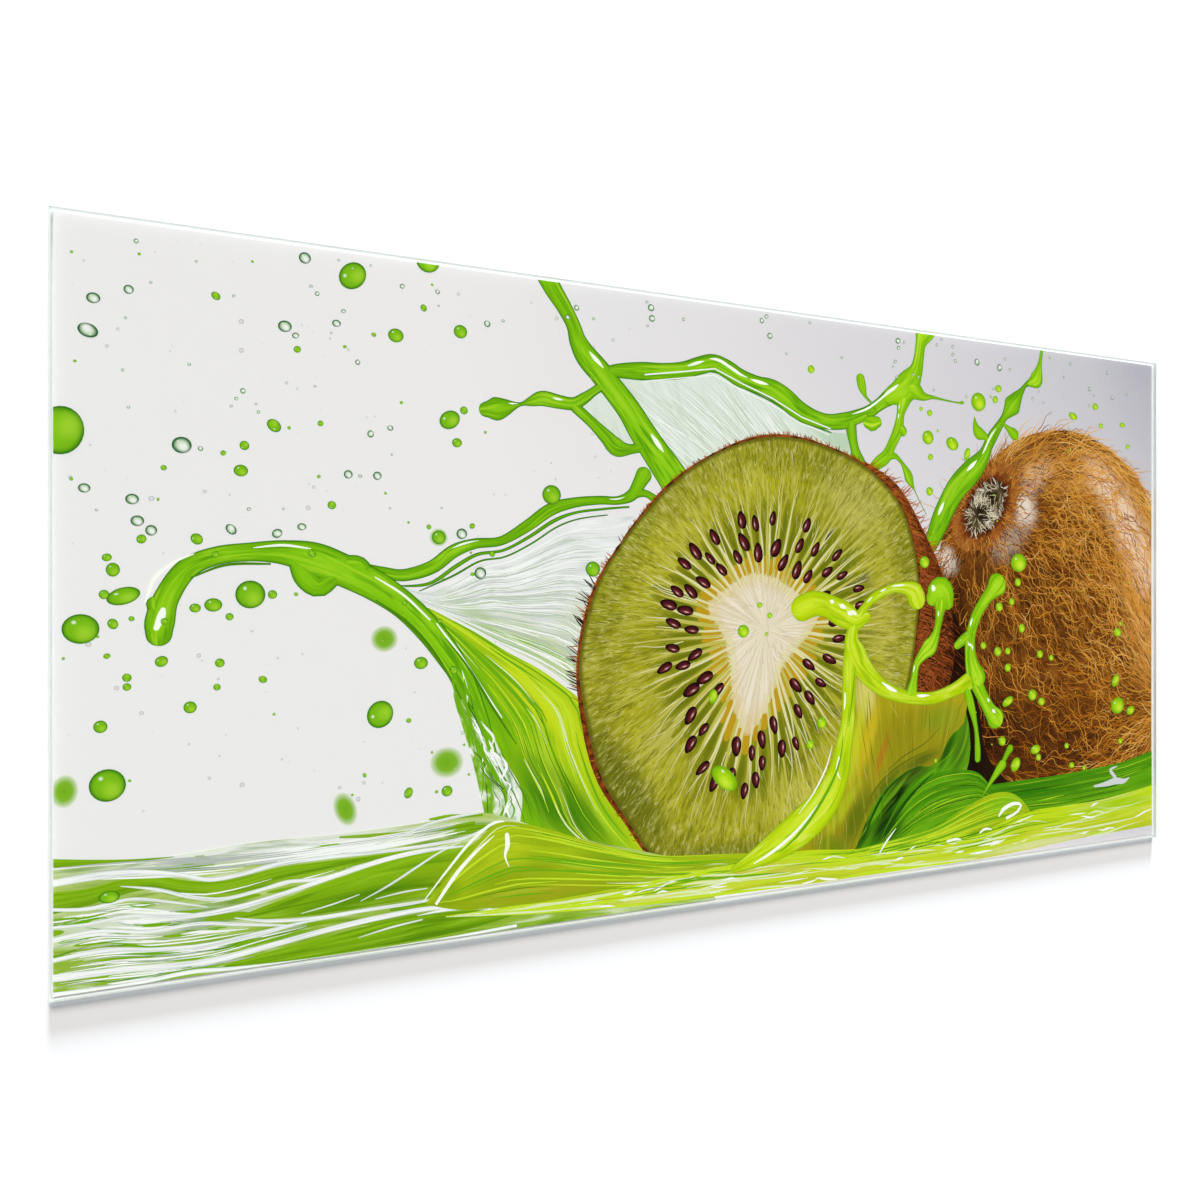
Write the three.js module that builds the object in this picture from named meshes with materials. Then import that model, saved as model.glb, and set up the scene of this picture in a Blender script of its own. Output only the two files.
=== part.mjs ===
// A printed glass wall picture, as hung over a worktop or a sofa: one sheet of clear safety
// glass with polished edges, and behind it the picture layer, its colours and white backing.
//
// Units are millimetres. The picture lies on its back with the glass up, +Z up, +X along its
// width and +Y towards the top of the picture. The origin is the middle of its underside.

import * as THREE from "three";

// Driving dimensions
const GLASS_WIDTH = 1000;
const GLASS_HEIGHT = 500;
const GLASS_THICKNESS = 4;
const CORNER_RADIUS = 1.5; // the corners are only eased, so they look square
const POLISHED_EDGE = 0.6; // width of the flat ground on each edge, at 45 degrees
const BARE_MARGIN = 2; // clear glass left around the picture layer
const PICTURE_THICKNESS = 1; // colours, white coat and backing foil together

// Worked out from them
const pictureWidth = GLASS_WIDTH - 2 * BARE_MARGIN;
const pictureHeight = GLASS_HEIGHT - 2 * BARE_MARGIN;

const CORNER_STEPS = 6; // straight steps in a quarter-round corner

const clearGlass = new THREE.MeshStandardMaterial({
  color: 0xeaf4f1,
  roughness: 0.04,
  metalness: 0,
  transparent: true,
  opacity: 0.2,
});
const printedColours = new THREE.MeshStandardMaterial({
  color: 0x9fb648,
  roughness: 0.5,
  metalness: 0,
});

// A rectangle centred on the origin, with quarter-round corners, counter-clockwise.
function roundedRectangle(width, height, radius) {
  const right = width / 2 - radius;
  const top = height / 2 - radius;
  const quarter = Math.PI / 2;
  const outline = new THREE.Shape();
  outline.moveTo(right, -top - radius);
  outline.absarc(right, -top, radius, -quarter, 0);
  outline.absarc(right, top, radius, 0, quarter);
  outline.absarc(-right, top, radius, quarter, 2 * quarter);
  outline.absarc(-right, -top, radius, 2 * quarter, 3 * quarter);
  outline.closePath();
  return outline;
}

// A flat sheet whose underside is at z = 0. Each long arris is ground back by `bevel`.
function flatSheet(width, height, thickness, radius, bevel = 0) {
  const sheet = new THREE.ExtrudeGeometry(roundedRectangle(width, height, radius), {
    depth: thickness - 2 * bevel,
    curveSegments: CORNER_STEPS,
    bevelEnabled: bevel > 0,
    bevelThickness: bevel,
    bevelSize: bevel,
    bevelOffset: -bevel,
    bevelSegments: 1,
  });
  return sheet.translate(0, 0, bevel);
}

function makeGlassSheet() {
  const geometry = flatSheet(GLASS_WIDTH, GLASS_HEIGHT, GLASS_THICKNESS, CORNER_RADIUS, POLISHED_EDGE);
  const sheet = new THREE.Mesh(geometry, clearGlass);
  sheet.name = "glass_sheet";
  sheet.position.z = PICTURE_THICKNESS;
  return sheet;
}

function makePictureLayer() {
  const geometry = flatSheet(pictureWidth, pictureHeight, PICTURE_THICKNESS, CORNER_RADIUS);
  const layer = new THREE.Mesh(geometry, printedColours);
  layer.name = "picture_layer";
  return layer;
}

const wallPicture = new THREE.Group();
wallPicture.name = "printed_glass_wall_picture";
wallPicture.add(makeGlassSheet(), makePictureLayer());

export default wallPicture;
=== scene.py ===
# %% [markdown]
# # A printed glass wall picture
#
# The real object is one sheet of clear safety glass, a metre wide, with a picture printed behind
# it: colours first, then a white coat, then a backing foil. It is flat, frameless and heavy. All
# its shape is in the polished rim of the glass, and all its richness is in the print. So this
# scene keeps the glass sheet that the frame brings, and builds the print as what it is: flat
# shapes of ink, each on its own level, about a hundredth of a millimetre apart.
#
# The picture is a plain one of its kind: half a kiwi fruit and a whole one in a splash of juice.

import math
import random

import bpy
import numpy as np
from mathutils import Matrix, Vector


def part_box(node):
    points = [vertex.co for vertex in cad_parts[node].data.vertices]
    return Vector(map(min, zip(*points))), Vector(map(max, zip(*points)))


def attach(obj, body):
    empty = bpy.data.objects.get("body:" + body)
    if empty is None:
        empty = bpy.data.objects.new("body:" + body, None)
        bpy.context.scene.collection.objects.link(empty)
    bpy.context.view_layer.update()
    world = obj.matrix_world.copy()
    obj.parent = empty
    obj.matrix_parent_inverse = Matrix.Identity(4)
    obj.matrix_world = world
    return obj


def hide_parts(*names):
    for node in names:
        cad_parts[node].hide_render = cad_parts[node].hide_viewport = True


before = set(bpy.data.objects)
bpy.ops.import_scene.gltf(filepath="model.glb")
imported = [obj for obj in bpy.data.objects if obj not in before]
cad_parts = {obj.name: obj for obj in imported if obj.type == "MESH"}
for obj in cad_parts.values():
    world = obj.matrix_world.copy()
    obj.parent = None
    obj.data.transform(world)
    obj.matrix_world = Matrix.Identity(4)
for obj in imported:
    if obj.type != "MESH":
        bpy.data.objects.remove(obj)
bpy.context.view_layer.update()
MM = 0.001  # the frame is in metres, and the picture is laid out in millimetres
layer_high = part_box("picture_layer")[1]
half_width = layer_high.x / MM
half_height = layer_high.y / MM
print("picture layer", round(2 * half_width), "x", round(2 * half_height), "mm")

# %% [markdown]
# ## Levels of ink
#
# On the real print the inks lie in one coat. Here each shape has its own level, so that what is
# in front in the picture is also a little nearer to the glass, and no two flat faces share a
# place. The white coat fills the lower part of the layer, and the levels share the rest.

# %% Share out the thickness of the layer
COAT_TOP = 0.3 * layer_high.z / MM
LEVEL_NAMES = (
    " ground far_specks back_film back_threads back_ribbon back_bright back_glint fruit_skin"
    " fruit_coat fruit_shine stem stem_threads stem_hairs side_ribbon side_bright side_glint"
    " half_skin half_hairs veil veil_threads left_body left_body_threads left_ribbon left_glint"
    " rim face face_cells face_fibres face_rays seed rim_hairs pool pool_green pool_threads"
    " pool_waves wave_back wave_mid wave_mid_threads funnel funnel_threads wave_front wave_top"
    " wave_top_threads foam crown crown_glint drops near_drops"
).split()
LEVEL_STEP = (layer_high.z / MM - COAT_TOP) / (len(LEVEL_NAMES) + 1)
height_of = {name: COAT_TOP + LEVEL_STEP * (k + 1) for k, name in enumerate(LEVEL_NAMES)}
RISE = 0.25 * LEVEL_STEP  # the most that the middle of a stroke stands above its edge
print(len(LEVEL_NAMES), "levels,", round(LEVEL_STEP, 4), "mm apart")

# %% [markdown]
# ## Colours and nodes
#
# Inks are named by their screen colour, and the renderer counts light linearly, so one function
# turns the one into the other. One more adds a node. The rest name the few steps that every
# pattern below is built from: sums, spans, blends, ramps and noise.

# %% Helpers for materials


def colour(code):
    """An sRGB colour such as "7FCF1A" as linear RGBA."""
    parts = [int(code[k : k + 2], 16) / 255 for k in (0, 2, 4)]
    return [c / 12.92 if c <= 0.04045 else ((c + 0.055) / 1.055) ** 2.4 for c in parts] + [1.0]


def add(tree, kind, inputs=None, stops=None, **settings):
    """Adds a node. inputs maps a socket to a value or to an output, and stops are a ramp's."""
    made = tree.nodes.new("ShaderNode" + kind)
    for key, value in settings.items():
        setattr(made, key, value)
    for key, value in (inputs or {}).items():
        if isinstance(value, bpy.types.Node):
            value = next(o for o in value.outputs if o.enabled)
        if isinstance(value, bpy.types.NodeSocket):
            tree.links.new(value, made.inputs[key])
        else:
            made.inputs[key].default_value = value
    if stops:
        ramp = made.color_ramp.elements
        while len(ramp) < len(stops):
            ramp.new(1.0)
        for element, (place, code) in zip(ramp, stops):
            element.position = place
            element.color = colour(code)
    return made


def where(tree, kind):
    """The place of a point: on its shape's own map for "UV", or in the room for "Object"."""
    return add(tree, "TexCoord").outputs[kind]


def maths(tree, operation, *values):
    return add(tree, "Math", dict(enumerate(values)), operation=operation).outputs[0]


def vector(tree, operation, *values):
    made = add(tree, "VectorMath", dict(enumerate(values)), operation=operation)
    return made.outputs["Value" if operation in ("LENGTH", "DISTANCE") else "Vector"]


def span(tree, value, start, stop, low=0.0, high=1.0, ease="LINEAR"):
    """Carries value from start and stop to low and high, and holds it beyond them."""
    limits = {0: value, 1: start, 2: stop, 3: low, 4: high}
    return add(tree, "MapRange", limits, interpolation_type=ease).outputs[0]


def band(tree, *limits):
    """A span that eases in and out."""
    return span(tree, *limits, ease="SMOOTHSTEP")


def blend(tree, share, one, other):
    """One colour turning to the other by share. Each is a code or an output."""
    one, other = (colour(c) if isinstance(c, str) else c for c in (one, other))
    return add(tree, "Mix", {0: share, 6: one, 7: other}, data_type="RGBA").outputs[2]


def ramp(tree, value, stops):
    return add(tree, "ValToRGB", {"Fac": value}, stops).outputs[0]


def noise(tree, place, scale, detail, distortion=0.0, roughness=0.5):
    values = {"Vector": place, "Scale": scale, "Detail": detail, "Distortion": distortion}
    return add(tree, "TexNoise", values | {"Roughness": roughness}).outputs[0]


# %% [markdown]
# ## Ink on glass
#
# Ink touches the glass with no air between, so it has no gloss of its own: all the gloss is the
# glass's. Every ink is therefore a rough surface with its specular level at zero, and only its
# colour differs.

# %% Start an ink


def ink(name, code="FFFFFF"):
    """A print ink of one colour. Returns the material and its node tree."""
    made = bpy.data.materials.new(name)
    made.use_nodes = True
    surface = made.node_tree.nodes["Principled BSDF"]
    surface.inputs["Base Color"].default_value = colour(code)
    surface.inputs["Roughness"].default_value = 0.6
    surface.inputs["Specular IOR Level"].default_value = 0.0
    return made, made.node_tree


def dye(tree, tone):
    """Makes an output the ink's colour."""
    tree.links.new(tone, tree.nodes["Principled BSDF"].inputs["Base Color"])

# %% [markdown]
# ## Laying a shape
#
# Each shape starts as a grid. Its corner (0, 0) is where it begins and (1, 1) where it ends, and
# a rule carries every point of the grid to its place on the picture. The grid keeps its own map,
# so a pattern can follow the shape, as the shine on a ribbon of juice does. A second number,
# depth, is how far a point lies in from the shape's edge, in millimetres.

# %% Helpers that lay a grid


def smooth_line(points, steps):
    """Evenly spaced points on a smooth curve through the given ones. Widths come along."""
    p = np.array(points, float)
    p = np.vstack([2 * p[0] - p[1], p, 2 * p[-1] - p[-2]])
    t = np.linspace(0, 1, 16, endpoint=False)[:, None]
    spans = [
        0.5 * (2 * b + (c - a) * t + (2 * a - 5 * b + 4 * c - d) * t**2 + (3 * b - a - 3 * c + d) * t**3)
        for a, b, c, d in zip(p[:-3], p[1:-2], p[2:-1], p[3:])
    ]
    line = np.vstack(spans + [p[-2:-1]])
    run = np.concatenate([[0], np.cumsum(np.hypot(*np.diff(line[:, :2], axis=0).T))])
    return np.stack([np.interp(np.linspace(0, run[-1], steps + 1), run, c) for c in line.T], axis=1)


def line_length(line):
    return float(np.hypot(*np.diff(np.array(line)[:, :2], axis=0).T).sum())


def lay(name, level, columns, rows, rule):
    """Adds a grid and carries it by rule(along, across) -> x, y, map x, map y, depth, in mm."""
    bpy.ops.object.select_all(action="DESELECT")
    bpy.ops.mesh.primitive_grid_add(x_subdivisions=columns, y_subdivisions=rows, size=1)
    piece = bpy.context.object
    piece.name = piece.data.name = name
    mesh = piece.data
    place = np.empty(len(mesh.vertices) * 3, np.float32)
    mesh.vertices.foreach_get("co", place)
    along, across = place.reshape(-1, 3)[:, :2].astype(float).T + 0.5
    x, y, map_x, map_y, depth = (np.broadcast_to(v, along.shape) for v in rule(along, across))
    rise = RISE * np.clip(depth / 20, 0, 1)
    mesh.vertices.foreach_set("co", (np.stack([x, y, height_of[level] + rise], 1) * MM).ravel())
    corner = np.empty(len(mesh.loops), np.int32)
    mesh.loops.foreach_get("vertex_index", corner)
    mesh.uv_layers[0].data.foreach_set("uv", np.stack([map_x, map_y], 1)[corner].ravel())
    mesh.attributes.new("depth", "FLOAT", "POINT").data.foreach_set("value", depth.astype(np.float32))
    mesh.update()
    return piece


def clean(piece, trim):
    """Merges points that fell together, cuts at the picture's edge and turns the faces up."""
    bpy.ops.object.select_all(action="DESELECT")
    piece.select_set(True)
    bpy.context.view_layer.objects.active = piece
    bpy.ops.object.mode_set(mode="EDIT")
    bpy.ops.mesh.select_all(action="SELECT")
    bpy.ops.mesh.remove_doubles(threshold=0.02 * MM, use_sharp_edge_from_normals=False)
    if trim:
        for x, y in ((half_width, 0), (-half_width, 0), (0, half_height), (0, -half_height)):
            edge = Vector((x, y, 0)) * MM
            bpy.ops.mesh.select_all(action="SELECT")
            bpy.ops.mesh.bisect(plane_co=edge, plane_no=edge.normalized(), clear_outer=True)
    bpy.ops.object.mode_set(mode="OBJECT")
    down = [f.normal.z < 0 for f in piece.data.polygons]
    if any(down):
        piece.data.polygons.foreach_set("select", down)
        bpy.ops.object.mode_set(mode="EDIT")
        bpy.ops.mesh.select_mode(type="FACE")
        bpy.ops.mesh.flip_normals()
        bpy.ops.object.mode_set(mode="OBJECT")


def join(name, pieces):
    """Joins pieces into the first and names it."""
    bpy.ops.object.select_all(action="DESELECT")
    for piece in pieces:
        piece.select_set(True)
    bpy.context.view_layer.objects.active = pieces[0]
    if len(pieces) > 1:
        bpy.ops.object.join()
    pieces[0].name = pieces[0].data.name = name
    return pieces[0]


printed = []


def print_piece(piece, material, trim=True):
    """Trims a laid piece, gives it its ink and lets it ride with the object."""
    clean(piece, trim)
    piece.data.materials.clear()
    piece.data.materials.append(material)
    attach(piece, "root")
    printed.append(piece)
    print(piece.name, len(piece.data.polygons), "faces")


# %% [markdown]
# ## Strokes and patches
#
# Juice that flies through the air draws out into cords and sheets. A cord is a stroke: a smooth
# line with a width at each point and round ends. Where two strokes cross, their middles stand a
# hair higher than their edges, so they run together like real liquid instead of one lying across
# the other. A sheet is a patch between two smooth lines. A disc is a grid bent round a centre.

# %% Strokes, patches and discs
MAP_MM = 50.0  # one unit of a stroke's map is this long


def stroke(name, level, points, shift):
    """points are (x, y, width), in mm. Each end is round, and passes its point by half its width."""
    p = np.array(points, float)
    for end, inner in ((0, 1), (-1, -2)):
        way = p[end, :2] - p[inner, :2]
        tip = [*(p[end, :2] + way / max(np.hypot(*way), 1e-6) * p[end, 2] / 2), p[end, 2]]
        p = np.vstack([[tip], p] if end == 0 else [p, [tip]])
    fine = smooth_line(p, max(24, int(line_length(p))))
    run = np.linspace(0, line_length(fine), len(fine))
    cap = 1 - np.cos(np.linspace(0, np.pi / 2, 7))
    run_at = np.concatenate([np.arange(0, run[-1], 3.0), cap * p[0, 2] / 2, run[-1] - cap * p[-1, 2] / 2])
    run_at = np.unique(np.round(run_at, 2))
    run_at = np.append(run_at[run_at < run[-1] - 0.01], run[-1])
    line = np.stack([np.interp(run_at, run, c) for c in fine.T], 1)
    tangent = np.stack([np.interp(run_at, run, c) for c in np.gradient(fine[:, :2], axis=0).T], 1)
    tangent /= np.maximum(np.hypot(*tangent.T), 1e-9)[:, None]
    radius = np.maximum(line[:, 2], 0.3) / 2
    short = np.clip(1 - np.minimum(run_at, run[-1] - run_at) / radius, 0, 1)
    radius = radius * np.sqrt(1 - short**2)
    steps = len(run_at) - 1

    def rule(along, across):
        k = np.rint(along * steps).astype(int)
        side = (across - 0.5) * 2 * radius[k]
        x = line[k, 0] - tangent[k, 1] * side
        y = line[k, 1] + tangent[k, 0] * side
        return x, y, shift + run_at[k] / MAP_MM, across, radius[k] - np.abs(side)

    return lay(name, level, steps, 4, rule)


def strokes(name, level, many, material):
    """Many strokes in one piece, each with its own stretch of the pattern."""
    made = [stroke(f"{name}_{k}", level, points, 7.3 * k) for k, points in enumerate(many)]
    print_piece(join(name, made), material)


def patch(name, level, first, second, rows=12, shift=0.0):
    """A sheet between two lines. Its map runs along the lines in x and across them in y."""
    length = max(line_length(first), line_length(second))
    steps = max(8, int(length / 4))
    a, b = smooth_line(first, steps), smooth_line(second, steps)
    apart = np.hypot(*(b - a)[:, :2].T)

    def rule(along, across):
        k = np.rint(along * steps).astype(int)
        x, y = (a[k] + (b[k] - a[k]) * across[:, None])[:, :2].T
        return x, y, shift + along * length / MAP_MM, across, np.minimum(across, 1 - across) * apart[k]

    return lay(name, level, steps, rows, rule)


def disc(name, level, centre, radius_at, columns, rows, core_at=None, core=0.3):
    """A polar grid. Its map is the turn in x and the way out in y, with the core's edge at core."""

    def rule(along, across):
        turn = along * 2 * np.pi
        outer = radius_at(turn)
        if core_at is None:
            out = across * outer
        else:
            inner = core_at(turn)
            out = np.where(
                across < core, across / core * inner, inner + (across - core) / (1 - core) * (outer - inner)
            )
        x, y = centre[0] + out * np.cos(turn), centre[1] + out * np.sin(turn)
        return x, y, along, across, outer - out

    return lay(name, level, columns, rows, rule)


def oval(wide, high, lean):
    """A rule for an oval's radius at each turn. lean is in degrees."""

    def radius_at(turn):
        t = np.asarray(turn) - math.radians(lean)
        return ((np.cos(t) / wide) ** 2 + (np.sin(t) / high) ** 2) ** -0.5

    return radius_at


def from_centre(centre, turn, reach):
    return centre[0] + reach * math.cos(turn), centre[1] + reach * math.sin(turn)


# %% [markdown]
# ## Backing: foil and white coat
#
# Behind the colours comes an opaque white coat, and behind that the foil which holds a broken
# sheet together. Together they are a slab with crisp, very slightly rounded edges. It is the part
# that the object rests on.

# %% White coat and foil
bpy.ops.object.select_all(action="DESELECT")
bpy.ops.mesh.primitive_cube_add(size=1, location=(0, 0, COAT_TOP / 2 * MM))
backing = bpy.context.object
backing.name = backing.data.name = "white_backing"
bpy.ops.object.mode_set(mode="EDIT")
bpy.ops.mesh.select_all(action="SELECT")
bpy.ops.transform.resize(value=(2 * half_width * MM, 2 * half_height * MM, COAT_TOP * MM))
bpy.ops.mesh.bevel(offset=0.08 * MM, segments=2, affect="EDGES")
bpy.ops.object.mode_set(mode="OBJECT")
bpy.ops.object.transform_apply(location=True, rotation=True, scale=True)

foil, tree = ink("pvc_foil_rolled", "F4F4F1")
foil_surface = tree.nodes["Principled BSDF"]
foil_surface.inputs["Roughness"].default_value = 0.45
foil_surface.inputs["Specular IOR Level"].default_value = 0.5
grain = noise(tree, where(tree, "Object"), 420.0, 3.0)
dye(tree, ramp(tree, grain, [(0.35, "EDEDE9"), (0.65, "F8F8F6")]))
print_piece(backing, foil, trim=False)

# %% [markdown]
# ## Ground
#
# The picture's background is a studio wall out of focus: warm off-white on the left, turning to
# a cool lavender grey at the upper right. Two stretched gradients and a very soft cloud do it.

# %% Studio ground
ground = lay(
    "ground", "ground", 40, 20,
    lambda u, v: ((2 * u - 1) * half_width, (2 * v - 1) * half_height, u, v, np.zeros_like(u)),
)
ground_ink, tree = ink("ground_print_soft_grey")
across, up, _ = add(tree, "SeparateXYZ", {0: where(tree, "UV")}).outputs
slant = maths(tree, "MULTIPLY_ADD", up, 0.30, across)
slant = maths(tree, "MULTIPLY_ADD", noise(tree, where(tree, "Object"), 5.0, 1.0), 0.12, slant)
dye(tree, ramp(tree, maths(tree, "DIVIDE", slant, 1.4), [
    (0.0, "ECECEA"), (0.42, "EBEAE9"), (0.62, "E1DFE0"), (0.78, "D7D5D9"), (0.9, "CBCACF"), (1.0, "B0AFBB"),
]))
print_piece(ground, ground_ink)

# %% [markdown]
# ## Juice
#
# Thin juice lit from behind is darkest at its rim, where the light is bent away, and brightest a
# few millimetres in. So its colour follows depth, the distance from the edge, with slow streaks
# along the flow. The same recipe with brighter and yellower inks gives the thick juice in front,
# and with whites the broad lines on the pool.

# %% Juice ink


def juice(name, rim_to_middle, dark, light, reach=11.0):
    """Juice that goes from the rim's colour to the middle's within reach mm, streaked along the flow."""
    made, tree = ink(name)
    depth = add(tree, "Attribute", attribute_name="depth").outputs["Fac"]
    flow = vector(tree, "MULTIPLY", where(tree, "UV"), (1.0, 4.2, 1.0))
    wave = noise(tree, flow, 1.0, 3.0, 0.8)
    share = maths(tree, "MULTIPLY", depth, span(tree, wave, 0.3, 0.7, 0.65 / reach, 1.45 / reach))
    tone = ramp(tree, share, rim_to_middle)
    inside = span(tree, share, 0.08, 0.28)
    for start, stop, strength, code in ((0.47, 0.34, 0.85, dark), (0.53, 0.66, 0.8, light)):
        streak = maths(tree, "MULTIPLY", span(tree, wave, start, stop, 0.0, strength), inside)
        tone = blend(tree, streak, tone, code)
    dye(tree, tone)
    return made


green_juice = juice(
    "juice_print_green",
    [(0.0, "2C6C08"), (0.05, "3F860A"), (0.1, "62A60C"), (0.22, "74B40E"), (0.5, "82C412"), (1.0, "8FCC1A")],
    dark="559A0C", light="A5D62A",
)
lime_juice = juice(
    "juice_print_lime",
    [(0.0, "7CA80A"), (0.06, "A4C60C"), (0.2, "B4D20C"), (0.5, "C0DC12"), (1.0, "CFE62E")],
    dark="98C00C", light="DCEE62",
)
spring_juice = juice(
    "juice_print_spring",
    [(0.0, "4C8C08"), (0.06, "6FB00C"), (0.2, "86C410"), (0.5, "98D014"), (1.0, "A8DC22")],
    dark="6CB00E", light="C4E83A",
)
white_glint = ink("glint_print_white", "F7FCEE")[0]

# %% [markdown]
# ## Glints
#
# Wet strokes carry white glints: long thin reflections of the studio's lamps that follow the
# stroke near one side and break off where it bends. They are strokes too, thin and pointed.

# %% Glints along strokes
GLINTS_EACH = 2
GLINT_SWELL = (0.2, 0.8, 1.0, 0.75, 0.15)  # a glint's width along it, as a share of its widest


def glints(name, level, many, seed, share, thick=0.17):
    """Pointed white strokes at seeded places along the given ones, on their upper side."""
    dice = random.Random(seed)
    made = []
    for points in many:
        line = smooth_line(points, 800)
        tangent = np.gradient(line[:, :2], axis=0)
        tangent /= np.maximum(np.hypot(*tangent.T), 1e-9)[:, None]
        for _ in range(GLINTS_EACH):
            long, off = dice.uniform(*share), dice.uniform(0.16, 0.3)
            start = dice.uniform(0.03, 0.95 - long)
            rows = []
            for k, swell in enumerate(GLINT_SWELL):
                i = int((start + long * k / 4) * 800)
                x, y, wide = line[i]
                up = off * wide * (1 if tangent[i, 0] > 0 else -1)
                rows.append((x - tangent[i, 1] * up, y + tangent[i, 0] * up, wide * thick * swell))
            made.append(rows)
    strokes(name, level, made, white_glint)


# %% [markdown]
# ## Threads
#
# Fur, fibres and the fine lines in moving juice are all threads: thin tapered strips, thousands
# of them, in a few plain inks. A noise pattern would look like felt from near by, while real
# strips stay crisp at any size. Three helpers draw them. One turns rows of points into strips.
# One grows a wandering hair. One runs threads along a sheet, in the sheet's own direction.

# %% Draw threads
INKS = {
    "white": "F4F7F2", "pale": "DDEBB4", "lime": "C3DF2C", "leaf": "6FAE14", "dark": "4A860C",
    "deep": "23500A",
    "film": "BBCDB2", "grey": "B4BDB5", "cream": "E9E0CC", "buff": "C3B590", "ray": "DEDAA6",
    "straw": "C0BC58",
    "olive": "6F7614", "moss": "4C5014", "umber": "2C1507", "bark": "54300D", "russet": "7A3A10",
    "amber": "AE6A16",
    "gold": "D6983A", "wheat": "E6B66A", "night": "1E0C05", "rust": "A9592C", "mist": "D3D8D6",
}
plain = {name: ink(f"plain_print_{name}", code)[0] for name, code in INKS.items()}


def strips(name, level, strands, material):
    """Strands are lists of (x, y, width) rows, all of one length. One flat strip for each."""
    rows = np.array(strands, float)
    count, steps = rows.shape[:2]
    tangent = np.gradient(rows[:, :, :2], axis=1)
    tangent /= np.maximum(np.linalg.norm(tangent, axis=2), 1e-9)[:, :, None]
    side = np.stack([-tangent[:, :, 1], tangent[:, :, 0]], 2) * rows[:, :, 2:3] / 2
    lift = np.random.default_rng(len(printed)).uniform(0, 0.6 * LEVEL_STEP,
                                                       (count, 1, 1)) * np.ones((1, steps, 1))
    left = np.concatenate([rows[:, :, :2] + side, lift], 2)
    right = np.concatenate([rows[:, :, :2] - side, lift], 2)
    places = np.stack([left, right], 2).reshape(-1, 3)
    places[:, 2] += height_of[level]
    first = (np.arange(count)[:, None] * steps + np.arange(steps - 1)[None, :]).ravel() * 2
    faces = np.stack([first, first + 1, first + 3, first + 2], 1)
    mesh = bpy.data.meshes.new(name)
    mesh.from_pydata((places * MM).tolist(), [], faces.tolist())
    piece = bpy.data.objects.new(name, mesh)
    bpy.context.scene.collection.objects.link(piece)
    print_piece(piece, material)


def print_threads(name, level, by_ink):
    """One piece for each ink."""
    for shade, strands in by_ink.items():
        strips(f"{name}_{shade}", level, strands, plain[shade])


def drawn(*lines):
    """Smooth threads of one length through lines of (x, y, width)."""
    return [smooth_line(line, 12) for line in lines]


def grow(dice, x, y, heading, length, width, curl, steps, lie=None):
    """One hair from (x, y). It wanders about its heading, or about lie(x, y), and thins to its tip."""
    rows = []
    off = dice.gauss(0, curl * 0.6)
    for k in range(steps + 1):
        t = k / steps
        rows.append((x, y, width * (1 - 0.8 * t**2) * (0.5 + 0.5 * min(1, 4 * t))))
        off = off * 0.8 + dice.gauss(0, curl * 0.55)
        way = (heading if lie is None else lie(x, y)) + off
        x += math.cos(way) * length / steps
        y += math.sin(way) * length / steps
    return rows


THREAD_STEPS = 9


def along(dice, first, second, count, width, length, v_span=(0.03, 0.97), drift=0.0, stray=0.02,
          turned=False):
    """Threads that run along a sheet between two lines, or across it when turned.

    Drift is how far they lean across the sheet in their length, and stray how unevenly.
    """
    a, b = (np.array(smooth_line(line, 80))[:, :2] for line in (first, second))
    made = []
    for _ in range(count):
        long = dice.uniform(*length)
        start, level_v = dice.uniform(0, 1 - long), dice.uniform(*v_span)
        bend, sway, phase = dice.gauss(drift, stray), dice.gauss(0, stray * 0.4), dice.uniform(0, 6)
        wide = dice.uniform(*width)
        rows = []
        for k in range(THREAD_STEPS + 1):
            t = k / THREAD_STEPS
            s = start + long * t
            v = min(0.995, max(0.005, level_v + bend * (t - 0.5) + sway * math.sin(phase + 5 * t)))
            if turned:
                s, v = v, s
            i = min(79, int(s * 80))
            p = a[i] + (a[i + 1] - a[i]) * (s * 80 - i)
            q = b[i] + (b[i + 1] - b[i]) * (s * 80 - i)
            x, y = p + (q - p) * v
            rows.append((x, y, wide * max(0.12, math.sin(math.pi * t)) ** 0.7))
        made.append(rows)
    return made


def print_along(name, level, dice, sheet, by_ink, **lie):
    """Threads along one sheet: for each ink how many, their widths and lengths, and where across."""
    made = {shade: along(dice, *sheet, *kind, **lie) for shade, kind in by_ink.items()}
    print_threads(name, level, made)


def ring(centre, points):
    """The reach, at each turn, of a smooth closed outline through the points."""
    p = np.array(points, float) - centre
    line = smooth_line([*p[-3:], *p, *p[:3]], 400)
    turn, reach = np.arctan2(line[:, 1], line[:, 0]), np.hypot(line[:, 0], line[:, 1])
    order = np.argsort(turn)
    return lambda t: np.interp(t, turn[order], reach[order], period=2 * np.pi)


# %% [markdown]
# ## Splash behind the fruit
#
# The splash throws cords of juice up behind the fruit: one thick cord from the top edge, a long
# arch with hanging drops, and a thin cord on the left. The arch's far end is thinner, so its green
# is brighter. Between the cords hang films so thin that they only tint the wall behind, with fine
# curved ripples.

# %% Sheets of juice


def dab_on(tree, tone, spot, dabs, ragged):
    """Lays soft ovals of colour over tone, their edges broken up by the ragged noise.

    Each dab is x, y, half width, half height, lean in degrees, colour and strength.
    """
    for x, y, wide, high, lean, code, strength in dabs:
        away = vector(tree, "SUBTRACT", spot, (x * MM, y * MM, 0.0))
        turn = {"Vector": away, "Axis": (0.0, 0.0, 1.0), "Angle": math.radians(-lean)}
        levelled = add(tree, "VectorRotate", turn).outputs[0]
        squeezed = vector(tree, "MULTIPLY", levelled, (1 / (wide * MM), 1 / (high * MM), 0.0))
        far = maths(tree, "MULTIPLY_ADD", ragged, -0.7, vector(tree, "LENGTH", squeezed))
        tone = blend(tree, band(tree, far, 0.75, -0.1, 0.0, strength), tone, code)
    return tone


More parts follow.
